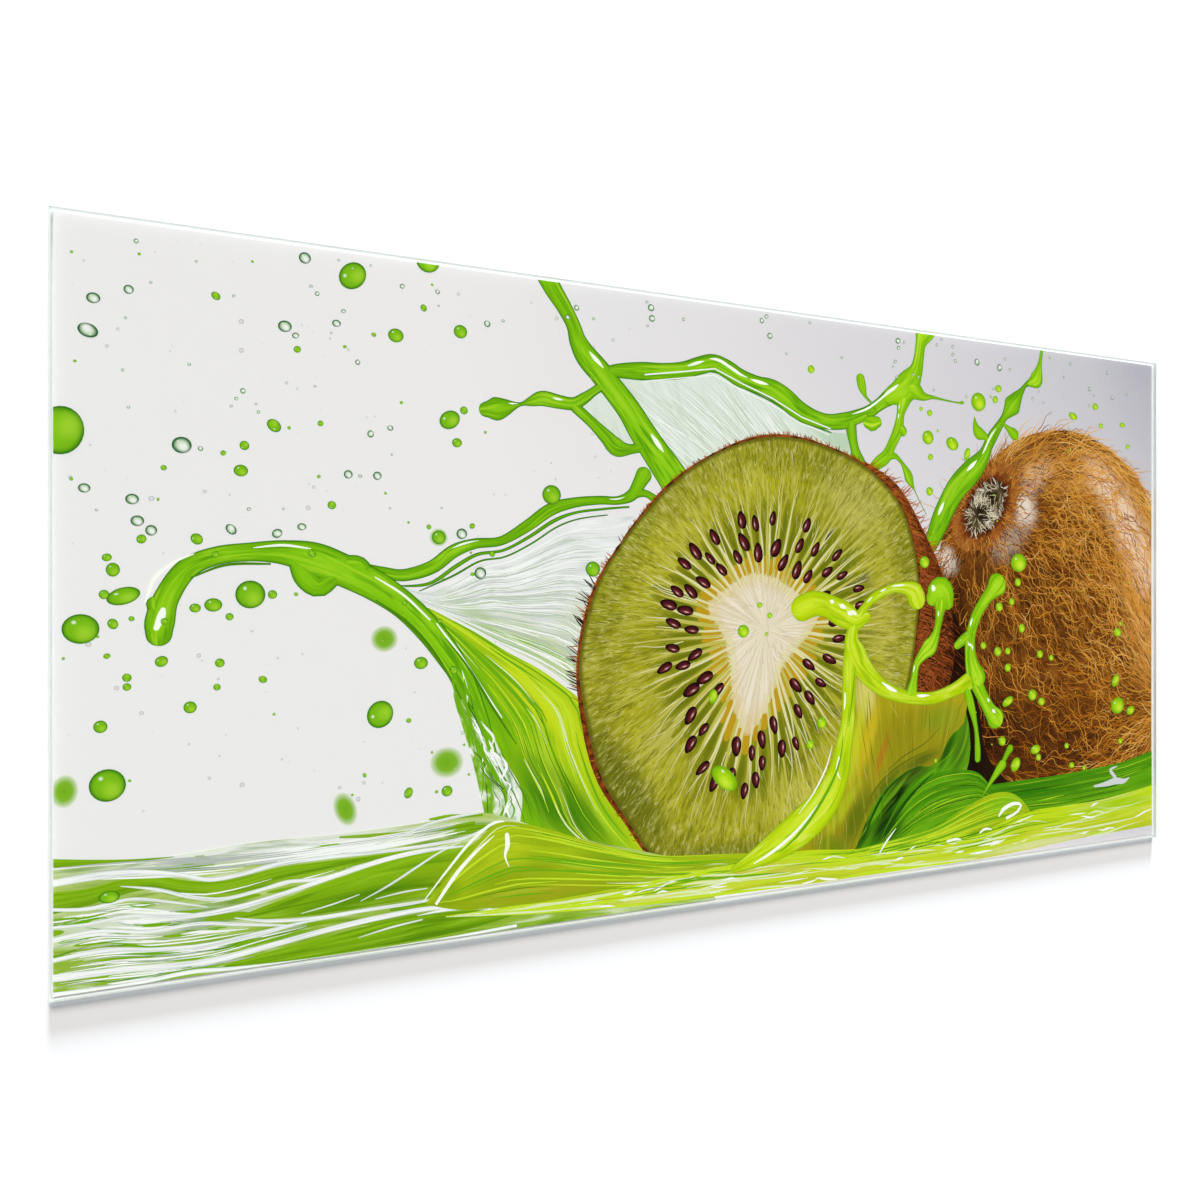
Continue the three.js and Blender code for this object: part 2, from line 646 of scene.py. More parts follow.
def flowing(name, first, second, line, dark, scale=(1.2, 20.0), turn_at=(0.2, 0.8), line_share=0.5, dabs=()):
    """Juice in a sheet: one colour to another across it, with bright and dark lines along it."""
    made, tree = ink(name)
    own = where(tree, "UV")
    fine = noise(tree, vector(tree, "MULTIPLY", own, (*scale, 1.0)), 1.0, 4.0, 0.5)
    broad = noise(tree, vector(tree, "MULTIPLY", own, (1.1, 3.0, 1.0)), 1.0, 2.0, 0.8)
    across = add(tree, "SeparateXYZ", {0: own}).outputs[1]
    across = maths(tree, "MULTIPLY_ADD", maths(tree, "SUBTRACT", broad, 0.5), 0.8, across)
    tone = blend(tree, span(tree, across, *turn_at), first, second)
    tone = dab_on(tree, tone, where(tree, "Object"), dabs, fine)
    tone = blend(tree, span(tree, fine, 0.49, 0.33, 0.0, line_share), tone, dark)
    tone = blend(tree, span(tree, fine, 0.54, 0.68, 0.0, line_share), tone, line)
    dye(tree, tone)
    return made


# %% Films behind the fruit
pale_film = flowing(
    "film_print_pale_green", "DDE7DC", "D9E4D6", "EEF2EC", "BFD2B8", scale=(9.0, 2.0), line_share=0.35,
    dabs=[(96, 145, 40, 20, -20, "B5CFAE", 0.8), (-95, 150, 16, 40, 30, "C6D8BE", 0.6)],
)
arch_edge = [(-122, 178), (-90, 181), (-60, 186), (-26, 192), (0, 182), (30, 172), (60, 158), (90, 150),
             (116, 150)]
arch_foot_line = [(-70, 96), (-45, 100), (-20, 104), (10, 108), (40, 108), (65, 108), (85, 106), (100, 104),
                  (116, 104)]
fork_edges = [(-146, 156), (-130, 168), (-112, 166)], [(-130, 136), (-114, 124), (-98, 126)]
arch_film = patch("arch_film", "back_film", arch_edge, arch_foot_line, rows=16)
fork_film = patch("fork_film", "back_film", *fork_edges)
print_piece(join("pale_films", [arch_film, fork_film]), pale_film)
dice = random.Random(2)
print_along("arch_film", "back_threads", dice, (arch_edge, arch_foot_line), {
    "film": (70, (0.3, 0.7), (0.5, 0.95)),
    "white": (54, (0.4, 0.9), (0.4, 0.9)),
}, drift=0.2, turned=True, stray=0.01)

# %% Cords of juice behind the fruit
top_cord = [(-178, 262, 17), (-167, 243, 15), (-158, 230, 13), (-150, 216, 12), (-146, 204, 15),
            (-139, 193, 19), (-128, 182, 20), (-116, 169, 20), (-103, 154, 21), (-92, 138, 23),
            (-83, 126, 24), (-72, 112, 26), (-58, 94, 28)]
arch_cord = [(-132, 178, 9), (-120, 183, 9), (-110, 184.5, 12), (-91, 186, 15), (-72, 187.5, 14),
             (-54, 190.5, 14), (-38, 196, 15), (-26, 199, 15), (-13, 195, 16), (-1, 189, 16), (15, 185, 15),
             (30, 182, 18), (43, 176, 19), (58, 166, 18), (74, 160.5, 15), (89, 158.5, 14), (105, 160.5, 15),
             (120, 165.5, 13), (133, 171, 12), (145, 179, 12), (157, 187, 17), (170, 193, 27), (179, 203, 24),
             (186, 214, 15), (189, 226, 11.5), (191, 238, 12), (194, 246, 19), (197, 252, 22)]
fork_cord = [(-219, 145, 12), (-212, 146, 18), (-204, 148, 13), (-193, 151, 3), (-184, 154, 8),
             (-175, 157, 12), (-162, 155.5, 11), (-150, 155, 10), (-141, 160, 9), (-133, 166, 7),
             (-126, 171, 8)]
fork_branch = [(-148, 152, 9), (-134, 141, 9), (-122, 130.5, 12), (-113, 123, 15), (-101, 122.5, 8),
               (-90, 126, 10)]
arch_tip = [(180, 197, 22), (194, 190, 9), (205, 190, 3.6), (220, 188.5, 1.9), (235, 187.5, 1.6),
            (241, 188, 3.4)]
arch_leg = [(171, 184, 16), (168, 172, 9), (165, 157, 11), (157, 141, 10), (152, 132, 12), (144, 126, 12),
            (136, 120, 9)]
leg_bead = [(169, 157, 10), (170, 156, 10)]
leg_drop = [(157, 133, 8), (163, 132, 5), (170, 126, 4), (176, 117, 9), (178.5, 111, 9), (183, 104, 2),
            (190, 92, 0.9), (198, 80, 0.7)]
small_hook = [(123, 200, 9), (125, 192, 9), (129, 184, 3.2), (136, 178, 2.6), (139.5, 171, 4), (131, 168, 3)]
arch_foot = [(112, 160, 13), (114, 148, 10.5), (117, 136, 9.5), (121, 124, 15)]
knot = [(132, 161, 12), (136, 160.5, 15), (141, 162, 11)]
thin_cord = [(-306, 24, 8), (-295, 22, 8), (-280, 20, 9), (-260, 26, 10), (-244, 38, 10), (-228, 44, 8),
             (-208, 46.5, 7), (-188, 58, 9), (-168, 72, 10), (-148, 78, 8), (-128, 80.5, 7), (-112, 81, 7),
             (-100, 86, 10), (-93, 97, 12), (-90, 102, 14)]
thin_foot = [(-98, 87, 8), (-88, 87.5, 6), (-78, 82, 7)]
thin_second = [(-286, 12, 1.2), (-262, 14, 2.4), (-242, 27, 3), (-226, 36, 2.6), (-206, 39.5, 2.2),
               (-186, 50, 2.6), (-166, 63, 3), (-148, 70, 2.2), (-126, 73.5, 2), (-104, 76, 1.6)]
thin_third = [(-270, 8, 0.8), (-244, 20, 1.6), (-224, 31, 1.5), (-205, 34.5, 1.4), (-184, 45, 1.4),
              (-164, 58, 1.4), (-146, 65, 1.2), (-122, 69, 1)]
film_rim = [(x, y - 0.5, 1.3) for x, y in arch_edge[1:-1]]
back_cords = [arch_cord, fork_cord, fork_branch, arch_foot, thin_cord, thin_foot, thin_second, thin_third,
              film_rim, top_cord]
bright_cords = [arch_cord[20:], arch_tip, arch_leg, leg_bead, leg_drop, small_hook, knot]
strokes("bright_cords", "back_bright", bright_cords, spring_juice)
strokes("back_cords", "back_ribbon", back_cords, green_juice)
glints("back_cord_glints", "back_glint", [arch_cord] * 4 + [fork_cord, thin_cord, top_cord, arch_leg], seed=4,
       share=(0.03, 0.09))
print_threads("film_rim", "back_glint", {"white": [
    [(x + 1, y + 2.4, 1.2) for x, y in arch_edge[1:-1]],
    [(x, y - 3.0, 0.9) for x, y in arch_edge[1:-1]],
]})

# %% [markdown]
# ## Whole fruit
#
# A kiwi fruit is an egg of thin brown skin under a coat of curled hairs. The hairs lie along lines
# that run from the stalk end to the far end, as lines of longitude do on a globe. So each hair
# here follows a field with two poles, and strays from it a little at every step. Dark hairs are
# laid first and golden ones over them, and where the lamps catch the skin it shows through pale.

# %% Skin of the whole fruit
FRUIT_CENTRE = (375, -5)
STEM_CENTRE = (270, 90)
GLARES = [  # where the lamps catch the skin: x, y, half width, half height, strength
    (318, 92, 13, 17, 1.0), (300, 62, 24, 16, 0.35), (332, 120, 22, 12, 0.4), (222, 38, 10, 12, 0.9),
    (424, 124, 22, 15, 0.9), (446, 100, 25, 18, 1.0), (464, 76, 25, 19, 1.0), (480, 50, 23, 21, 1.0),
    (494, 24, 18, 20, 0.9),
]
fruit_outline = ring(FRUIT_CENTRE, [
    (209, 20), (214, 50), (228, 88), (252, 116), (283, 140), (320, 161), (376, 171), (426, 160), (469, 135),
    (500, 98), (560, 0), (560, -110), (510, -172), (440, -184), (364, -184), (290, -178), (240, -140),
    (213, -70),
])
fruit = disc("whole_fruit", "fruit_skin", FRUIT_CENTRE, fruit_outline, 120, 16)
skin_ink, tree = ink("fruit_skin_print_brown")
spot = where(tree, "Object")
cloud = noise(tree, spot, 60.0, 6.0, roughness=0.7)
pale_skin = [
    (x, y, wide * 1.6, high * 1.5, *((-50, "EBCFB2") if x > 400 else (40, "E6D9C8")), power)
    for x, y, wide, high, power in GLARES
]
dye(tree, dab_on(tree, ramp(tree, cloud, [(0.3, "3E1F08"), (0.5, "724314"), (0.7, "9E6620")]), spot, [
    (330, -150, 170, 60, 5, "3A1A0A", 0.7), (222, -40, 40, 120, 5, "140803", 1.0),
    (262, -120, 60, 50, 40, "1C0B05", 0.9), (390, 128, 130, 36, -6, "C08842", 0.9),
    (480, 20, 44, 130, 10, "D0944A", 0.9), (372, 10, 60, 60, 0, "5A3410", 0.4),
] + pale_skin, cloud))
print_piece(fruit, skin_ink)


def fur_lie(x, y):
    """The way the coat lies: away from the stalk end and towards the far end."""
    from_stem = np.array([x - STEM_CENTRE[0] + 8, y - STEM_CENTRE[1]])
    to_far = np.array([530 - x, -110 - y])
    way = from_stem / (from_stem @ from_stem + 80) + to_far / (to_far @ to_far + 80)
    return math.atan2(way[1], way[0])


def fruit_point(dice, out_span=(0, 1)):
    """A seeded place on the whole fruit, with its turn and how far out it lies."""
    while True:
        turn, out = dice.uniform(0, 2 * math.pi), math.sqrt(dice.uniform(*out_span))
        x, y = from_centre(FRUIT_CENTRE, turn, float(fruit_outline(turn)) * out)
        if x < half_width + 10:
            return x, y, turn, out


def glare(x, y):
    """How strongly the lamps catch the skin at a place."""
    return min(1.0, sum(p * math.exp(-(((x - a) / w) ** 2) - ((y - b) / h) ** 2) for a, b, w, h, p in GLARES))


def fruit_light(x, y):
    """How thickly golden hairs stand at a place, from 0 to 1."""
    light = 0.6 + 0.3 * math.tanh((x - 410) / 60) + 0.36 * max(0, y / 150)
    return light - 0.6 * math.exp(-(((x - 226) / 38) ** 2) - ((y + 60) / 90) ** 2)


UNDERCOAT_HAIRS = 3600
COAT_HAIRS = 5600
FRINGE_HAIRS = 560
dice = random.Random(11)
under, over = {}, {}
for _ in range(UNDERCOAT_HAIRS):
    x, y, *_ = fruit_point(dice)
    if dice.random() < 0.66 * glare(x, y):
        continue
    warm = dice.random() < fruit_light(x, y) - 0.35
    shade = dice.choice(("russet", "amber") if warm else ("umber", "umber", "bark", "bark", "russet"))
    hair = grow(dice, x, y, 0, dice.uniform(9, 26), dice.uniform(0.5, 1.0), 0.7, 9, fur_lie)
    under.setdefault(shade, []).append(hair)
for _ in range(COAT_HAIRS):
    x, y, _, out = fruit_point(dice)
    if dice.random() > max(0.25, fruit_light(x, y)) or dice.random() < 0.55 * glare(x, y):
        continue
    bright = dice.gauss(0.4 + 0.48 * fruit_light(x, y), 0.2) - 0.2 * glare(x, y) - 0.14 * (y < -70)
    shade = "russet" if bright < 0.3 else "amber" if bright < 0.58 else "gold" if bright < 0.95 else "wheat"
    curl = 0.8 if out < 0.9 and x < 450 else 0.34
    bold = dice.random() < 0.28
    long = dice.uniform(16, 36) * (1.5 if bold else 1)
    wide = dice.uniform(0.8, 1.2) if bold else dice.uniform(0.4, 0.75)
    over.setdefault(shade, []).append(grow(dice, x, y, 0, long, wide, curl, 11, fur_lie))
print_threads("fruit_undercoat", "fruit_coat", under)
print_threads("fruit_coat", "fruit_shine", over)

# %% Fringe round the whole fruit
fringe = {}
for _ in range(FRINGE_HAIRS):
    x, y, turn, _ = fruit_point(dice, (0.93, 1.0))
    heading = (fur_lie(x, y) + turn) / 2 + dice.gauss(0, 0.6)
    shade = dice.choice(("russet", "amber", "gold", "gold"))
    hair = grow(dice, x, y, heading, dice.uniform(2.5, 6.5), dice.uniform(0.3, 0.6), 0.7, 6)
    fringe.setdefault(shade, []).append(hair)
print_threads("fruit_fringe", "fruit_shine", fringe)
gap_edges = [(217, 2), (219, -28), (220, -58), (223, -90)], [(223, 2), (239, -28), (245, -56), (248, -90)]
print_piece(patch("fruit_gap", "side_ribbon", *gap_edges), plain["night"])
print_along("fruit_gap", "side_glint", dice, gap_edges, {
    "umber": (60, (0.5, 1.0), (0.1, 0.3), (0.02, 0.98), 0.8),
    "russet": (14, (0.4, 0.7), (0.08, 0.2), (0.6, 0.98), 0.6),
})

# %% [markdown]
# ## Stem end
#
# Where the stalk broke off, the skin draws in to an oval scar: a dark hollow, and in it pale woody
# fibres that stand in two tufts. A collar of short russet hairs crowds round it.

# %% Stem scar
STEM_LEAN = 47
scar_outline = oval(31, 15, STEM_LEAN)
collar_outline = oval(52, 30, STEM_LEAN)
collar = disc("stem_collar", "stem", STEM_CENTRE, collar_outline, 64, 8)
collar_ink, tree = ink("stem_collar_print")
out = add(tree, "SeparateXYZ", {0: where(tree, "UV")}).outputs[1]
out = maths(tree, "MULTIPLY_ADD", noise(tree, where(tree, "Object"), 200.0, 4.0), 0.35, out)
dye(tree, ramp(tree, out, [(0.45, "2C2214"), (0.62, "5E5438"), (0.74, "34180C"), (0.88, "7A3C16"),
                           (1.04, "A0662A")]))
print_piece(collar, collar_ink)

SCAR_FIBRES = 440
TUFTS = (258, 80), (284, 106)
dice = random.Random(21)
fibres = {"buff": [], "cream": [], "moss": [], "umber": []}
for _ in range(SCAR_FIBRES):
    turn, out = dice.uniform(0, 2 * math.pi), dice.random() ** 0.4
    x, y = from_centre(STEM_CENTRE, turn, float(scar_outline(turn)) * out)
    tuft = TUFTS[x - STEM_CENTRE[0] + y - STEM_CENTRE[1] > 4]
    shade = dice.choice(("buff", "buff", "cream", "cream", "moss", "umber"))
    wide = dice.uniform(0.4, 0.85) if shade in ("buff", "cream") else dice.uniform(0.3, 0.7)
    heading = math.atan2(y - tuft[1], x - tuft[0]) + dice.gauss(0, 0.5)
    fibres[shade].append(grow(dice, x, y, heading, dice.uniform(4, 10), wide, 0.35, 6))
print_threads("stem_fibres", "stem_threads", fibres)
COLLAR_HAIRS = 1000
ruff = {"umber": [], "bark": [], "russet": [], "rust": [], "amber": [], "gold": []}
for _ in range(COLLAR_HAIRS):
    shade = dice.choice(("bark", "russet", "rust", "rust", "amber", "gold"))
    share = dice.uniform(0.66, 1.06)
    shade = "umber" if share < 0.69 else shade
    long, wide, turn = dice.uniform(4, 13), dice.uniform(0.35, 0.75), dice.uniform(0, 2 * math.pi)
    x, y = from_centre(STEM_CENTRE, turn, float(collar_outline(turn)) * share)
    ruff[shade].append(grow(dice, x, y, turn + dice.gauss(0, 0.35), long, wide, 0.4, 6))
print_threads("stem_ruff", "stem_hairs", ruff)

# %% [markdown]
# ## Cord of juice over the whole fruit
#
# One cord runs up between the two fruits and off the top edge. Its thin end swells into beads,
# brighter than the cord, where the liquid is about to part.

# %% Side cord
side_cord = [(196, 44, 14), (205, 57, 17), (214, 75, 21), (223, 91, 22), (234, 107, 23), (247, 119, 24),
             (258, 129, 21), (267, 139, 15), (272, 148, 12), (278, 158, 12), (287, 170, 9), (293, 178, 8),
             (299, 185, 15), (303, 190, 21), (309, 198, 14), (315, 205, 7), (321, 212, 4.5), (328, 215, 10),
             (334, 218, 17.5), (337, 225, 12), (339, 233, 6), (341, 242, 4), (343, 256, 4.5)]
side_bead = [(275, 152, 5), (268, 158, 8), (261, 160.5, 13), (257, 167, 7), (255.5, 175, 1)]
side_twig = [(290, 173, 3), (297, 168, 5), (304, 163.5, 11), (306, 162, 11)]
strokes("side_cord", "side_ribbon", [side_cord], green_juice)
strokes("side_beads", "side_bright", [side_bead, side_twig, side_cord[17:]], spring_juice)
glints("side_cord_glints", "side_glint", [side_cord] * 2, seed=9, share=(0.03, 0.08))

# %% [markdown]
# ## Half fruit: skin beside the cut
#
# The half leans a little away, so a sliver of its hairy outside shows to the right of the cut,
# dark where the two fruits meet. Longer, stiff hairs stand out past it at the top.

# %% Skin of the half fruit
skin_inner = [(120, 118), (148, 98), (168, 66), (178, 24), (178, -18), (172, -60), (160, -98)]
skin_outer = [(128, 126), (166, 104), (195, 64), (214, 30), (226, -4), (231, -42), (226, -74), (208, -104)]
half_ink = flowing(
    "half_skin_print_russet", "8A4516", "4A1E0A", "A9602A", "34130A", scale=(9.0, 6.0), turn_at=(0.1, 1.0),
    line_share=0.8,
    dabs=[(224, -50, 14, 60, 0, "1E0A04", 0.9)],
)
print_piece(patch("half_fruit_skin", "half_skin", skin_inner, skin_outer, 10), half_ink)
dice = random.Random(31)
print_along("half_skin", "half_hairs", dice, (skin_inner, skin_outer), {
    "umber": (220, (0.5, 1.0), (0.04, 0.12), (0.2, 1.0)),
    "russet": (420, (0.5, 1.0), (0.05, 0.14), (0.05, 1.0)),
    "rust": (320, (0.4, 0.9), (0.04, 0.12), (0.05, 0.85)),
}, drift=0.35, stray=0.4)
edge = smooth_line(skin_outer, 100)
SPIKES = 90
spikes = {"rust": [], "amber": []}
for _ in range(SPIKES):
    x, y = edge[int(62 * dice.random() ** 0.8)]
    hairs = spikes[dice.choice(("rust", "amber"))]
    heading, long, wide = dice.gauss(0.25, 0.4), dice.uniform(6, 17), dice.uniform(0.7, 1.1)
    hairs.append(grow(dice, x - 1, y - 1, heading, long, wide, 0.12, 4))
print_threads("half_spikes", "half_hairs", spikes)

# %% [markdown]
# ## Splash on the left
#
# A broad cord leaps out of the pool, curls over and ends in a round head. It grows out of a body
# of juice that fans out towards the fruit, green near the cord and yellow near the fruit. Above
# the body a clear veil is drawn up to the thin cord, and on its left a curtain of clear juice runs
# down into the pool.

# %% Veil and curtain
veil_top = [(-292, 16), (-265, 8), (-244, 16), (-226, 28), (-206, 32), (-186, 42), (-166, 54), (-148, 62),
            (-122, 66), (-92, 70)]
veil_low = [(-266, -2), (-250, -8), (-228, -20), (-204, -34), (-180, -46), (-162, -58), (-146, -72),
            (-138, -96), (-120, -110), (-90, -100)]
veil_ink = flowing(
    "veil_print_clear", "E6E9E6", "DDE2DA", "F6F7F6", "C3CCC2", scale=(1.6, 18.0), line_share=0.6,
    dabs=[(-214, -18, 60, 9, -34, "A8C468", 0.75), (-172, -38, 52, 14, -36, "B4CC6E", 0.85),
          (-148, -20, 26, 30, -30, "C6D3AC", 0.6)],
)
print_piece(patch("veil", "veil", veil_top, veil_low, 20), veil_ink)
curtain_left = [(-248, -44), (-243, -74), (-235, -100), (-227, -130), (-218, -172)]
curtain_right = [(-232, -54), (-219, -88), (-207, -116), (-192, -144), (-194, -174)]
curtain_ink = flowing(
    "curtain_print_clear_green", "88BA2E", "DFE8D6", "FAFBF9", "4F8E1C", scale=(4.0, 4.0), line_share=0.85,
)
print_piece(patch("curtain", "left_body_threads", curtain_left, curtain_right), curtain_ink)
dice = random.Random(12)
print_along("veil", "veil_threads", dice, (veil_top, veil_low), {
    "film": (46, (0.3, 0.8), (0.25, 0.8)),
    "grey": (34, (0.25, 0.6), (0.2, 0.6), (0.02, 0.8)),
    "white": (50, (0.4, 1.3), (0.2, 0.7)),
    "leaf": (12, (0.3, 0.8), (0.2, 0.5), (0.7, 0.99)),
})
print_along("curtain", "left_glint", dice, (curtain_left, curtain_right), {
    "deep": (10, (0.4, 1.0), (0.1, 0.4), (0.03, 0.97), 0.0, 0.15),
    "white": (16, (0.8, 2.6), (0.06, 0.2), (0.3, 0.97), 0.0, 0.15),
    "leaf": (22, (0.8, 3.0), (0.1, 0.4), (0.02, 0.8), 0.0, 0.12),
})

# %% Cord and body on the left
left_cord = [(-438.5, -20, 16), (-438, -12, 18), (-434, 4, 15.5), (-422, 23, 14), (-404, 32, 12.5),
             (-382, 35, 13), (-362, 35, 17), (-342, 31, 23), (-322, 23, 23), (-300, 12, 22), (-280, -2, 20),
             (-262, -20, 20), (-247, -40, 19), (-234, -62, 15), (-223, -86, 10), (-214, -112, 5)]
cord_flap = [(-354, 28, 10), (-348, 18, 15), (-339, 11, 14), (-330, 17, 12), (-320, 22, 8)]
cord_bump = [(-320, 28, 12), (-312, 27, 13), (-306, 22, 10)]
cord_knob = [(-441, -3, 9), (-441.5, 0, 9)]
left_cords = [cord_flap, cord_bump, cord_knob, left_cord]
strokes("left_cords", "left_ribbon", left_cords, green_juice)
shine = [[(-446, 2, 1.0), (-441, 17, 2.0), (-430, 27, 1.6), (-418, 33, 0.8)],
         [(-300, 18, 0.8), (-281, 6, 1.8), (-262, -12, 1.2)],
         [(-440, -16, 3.5), (-437, -8, 5.0), (-436, -4, 3.0)],
         [(-256, -16, 1.0), (-240, -38, 2.2), (-224, -62, 1.6), (-208, -86, 0.8)],
         [(-380, 38, 0.8), (-362, 40, 1.8), (-345, 38, 1.0)]]
strokes("left_cord_glints", "left_glint", shine, white_glint)
shade = [[(-300, 2, 1.0), (-276, -16, 2.6), (-256, -40, 2.2), (-238, -72, 1.0)],
         [(-420, 17, 1.0), (-398, 26, 2.0), (-370, 27, 1.4)],
         [(-250, -26, 0.8), (-232, -50, 1.8), (-214, -80, 2.0), (-196, -108, 0.8)]]
print_threads("left_cord_shade", "left_glint", {"dark": drawn(*shade)})

body_left = [(-276, -2), (-262, -20), (-250, -42), (-238, -70), (-227, -98), (-214, -128), (-200, -150),
             (-190, -176), (-160, -196)]
body_right = [(-262, -4), (-228, -22), (-204, -37), (-180, -50), (-160, -64), (-143, -80), (-134, -115),
              (-116, -160), (-76, -212)]
body_ink = flowing(
    "body_print_green_to_yellow", "7CBC10", "ACCB18", "C3DC3E", "629F0E", scale=(0.4, 6.0),
    turn_at=(0.15, 0.8), line_share=0.45,
    dabs=[(-176, -76, 60, 17, -44, "CBDC20", 0.95), (-150, -112, 40, 12, -62, "C2D71C", 0.85),
          (-158, -160, 70, 24, -40, "3F800C", 0.95), (-176, -134, 40, 12, -48, "6B9E10", 0.7),
          (-204, -128, 26, 10, -50, "98B81A", 0.7), (-118, -180, 50, 7, -56, "92C41C", 0.9)],
)
print_piece(patch("left_body", "left_body", body_left, body_right, 20), body_ink)
dice = random.Random(13)
print_along("left_body", "left_body_threads", dice, (body_left, body_right), {
    "dark": (9, (0.4, 1.6), (0.2, 0.6), (0.05, 0.8)),
    "leaf": (16, (0.8, 3.4), (0.2, 0.6), (0.1, 0.97)),
    "lime": (18, (0.5, 2.0), (0.2, 0.55), (0.3, 0.97)),
    "pale": (9, (0.4, 1.3), (0.15, 0.4), (0.3, 0.9)),
})

# %% [markdown]
# ## Cut face
#
# The cut is the heart of the picture. From the middle out it shows a cream core, shaped like a
# rounded triangle; golden lobes; a darker ring with the seeds; and light green flesh with pale
# rays that run out to a thin brown skin. The face is one disc laid so that its map knows both the
# turn and the way out, with the core's edge always at the same place. Soft tones are painted on
# it with noise that is drawn out along the rays. Rays, fibres and seeds are shapes of their own.

# %% Lay the cut face
FACE_CENTRE = (24, -24)
CORE = 0.3
face_outline = ring(FACE_CENTRE, [
    (-145, -45), (-131, 11), (-101, 58), (-54, 105), (0, 134), (49, 142), (101, 132), (141, 113), (170, 84),
    (185, 43), (189, 8), (186, -28), (176, -78), (150, -140), (108, -190), (50, -224), (-20, -228),
    (-77, -209), (-105, -174), (-126, -140), (-139, -95),
])
core_outline = ring(FACE_CENTRE, [
    (-32, -2), (-19, 9), (6, 24), (32, 22), (54, 10), (77, -9), (70, -28), (45, -53), (36, -71), (27, -90),
    (13, -110), (3, -113), (-8, -90), (-12, -55), (-19, -28), (-29, -13),
])
rim_ink, tree = ink("rim_print_brown")
fleck = noise(tree, where(tree, "Object"), 130.0, 3.0)
dye(tree, ramp(tree, fleck, [(0.35, "401608"), (0.65, "9A4E20")]))


def rim_outline(turn):
    """A little wider than the face: uneven all round, and swollen at the lower left."""
    swell = 2.6 * np.exp(-(((np.mod(turn, 2 * np.pi) - 3.7) / 0.45) ** 2))
    return face_outline(turn) + 2.0 + 0.5 * np.sin(9 * turn) + swell


rim = disc("half_fruit_rim", "rim", FACE_CENTRE, rim_outline, 180, 3)
print_piece(rim, rim_ink)
face = disc("half_fruit_face", "face", FACE_CENTRE, face_outline, 240, 30, core_outline, CORE)

# %% Flesh ink
flesh, tree = ink("flesh_print_green")
spot = where(tree, "Object")
out = add(tree, "SeparateXYZ", {0: where(tree, "UV")}).outputs[1]
flat = vector(tree, "SUBTRACT", spot, (FACE_CENTRE[0] * MM, FACE_CENTRE[1] * MM, 0.0))
flat = vector(tree, "MULTIPLY", flat, (1.0, 1.0, 0.0))
ray = vector(tree, "NORMALIZE", flat)
outward = add(tree, "CombineXYZ", {2: out}).outputs[0]


def along_rays(around, outwards, detail, distortion=0.0):
    """Noise drawn out along the rays: around sets how many there are, outwards how long."""
    wide = vector(tree, "MULTIPLY", ray, (around, around, 0.0))
    place = vector(tree, "MULTIPLY_ADD", outward, (0.0, 0.0, outwards), wide)
    return noise(tree, place, 1.0, detail, distortion)


def lay_on(tone, code, *shares):
    """Lays a colour over tone by the product of the shares."""
    share = shares[0]
    for other in shares[1:]:
        share = maths(tree, "MULTIPLY", share, other)
    return blend(tree, share, tone, code)


cell_noise = along_rays(9.0, 1.2, 2.0)
fibre_noise = along_rays(40.0, 7.0, 4.0, 0.4)
fleck_noise = along_rays(70.0, 26.0, 3.0, 0.6)
smudge_noise = along_rays(5.5, 5.0, 3.0)
core_noise = along_rays(20.0, 2.0, 3.0, 0.5)
cloud = noise(tree, spot, 14.0, 4.0)
tone = ramp(tree, maths(tree, "MULTIPLY_ADD", cell_noise, 0.26, out), [
    (0.43, "C09A18"), (0.50, "9E9418"), (0.58, "7B8012"), (0.68, "858A14"), (0.78, "A4A21C"),
    (0.92, "B3AF24"), (1.06, "9A981E"),
])
tone = lay_on(tone, "C2BE36", band(tree, cloud, 0.42, 0.68, 0.0, 0.55))
tone = lay_on(tone, "7A8012", band(tree, cloud, 0.46, 0.3, 0.0, 0.5))
tone = dab_on(tree, tone, spot, [
    (-106, -150, 24, 84, 33, "566210", 0.75), (-20, -212, 110, 14, 0, "5F6A12", 0.6),
    (116, 84, 60, 34, -38, "BBB65A", 0.6), (-66, -104, 40, 20, 40, "C4C070", 0.35),
    (60, -172, 50, 24, 20, "C9C44E", 0.7), (-126, 6, 20, 60, -22, "8E941C", 0.5),
    (150, -20, 26, 60, 0, "BDB648", 0.6), (176, 40, 12, 60, 10, "7E7F14", 0.6),
    (-96, 60, 50, 14, 48, "7E8A1A", 0.6), (62, 56, 9, 20, -20, "45483A", 0.8),
    (86, 50, 8, 22, -40, "45483A", 0.8), (112, 16, 26, 9, 20, "4A4A34", 0.8),
    (114, -30, 24, 8, 5, "55523A", 0.7), (66, -104, 26, 8, -40, "4E5040", 0.7),
    (50, -132, 18, 8, -50, "4E5040", 0.7), (18, -152, 9, 20, 0, "4E5030", 0.7),
    (-24, -146, 10, 18, -30, "4E5030", 0.6),
], cloud)
outer_flesh = band(tree, out, 0.6, 0.85)
tone = lay_on(tone, "C8C468", band(tree, fibre_noise, 0.5, 0.7, 0.0, 0.5),
              band(tree, out, 0.32, 0.6, 0.3, 1.0))
tone = lay_on(tone, "646A12", band(tree, fibre_noise, 0.5, 0.3, 0.0, 0.55))
tone = lay_on(tone, "D2CE80", band(tree, fleck_noise, 0.53, 0.7, 0.0, 0.6), outer_flesh)
tone = lay_on(tone, "5E6410", band(tree, fleck_noise, 0.47, 0.3, 0.0, 0.5), outer_flesh)
tone = lay_on(
    tone, "363C32", band(tree, smudge_noise, 0.5, 0.66, 0.0, 0.75),
    band(tree, out, 0.40, 0.47), band(tree, out, 0.76, 0.6),
    band(tree, add(tree, "SeparateXYZ", {0: flat}).outputs[0], -0.02, 0.05),
)
cream = blend(tree, band(tree, core_noise, 0.4, 0.62), "DACFAE", "ECE4D0")
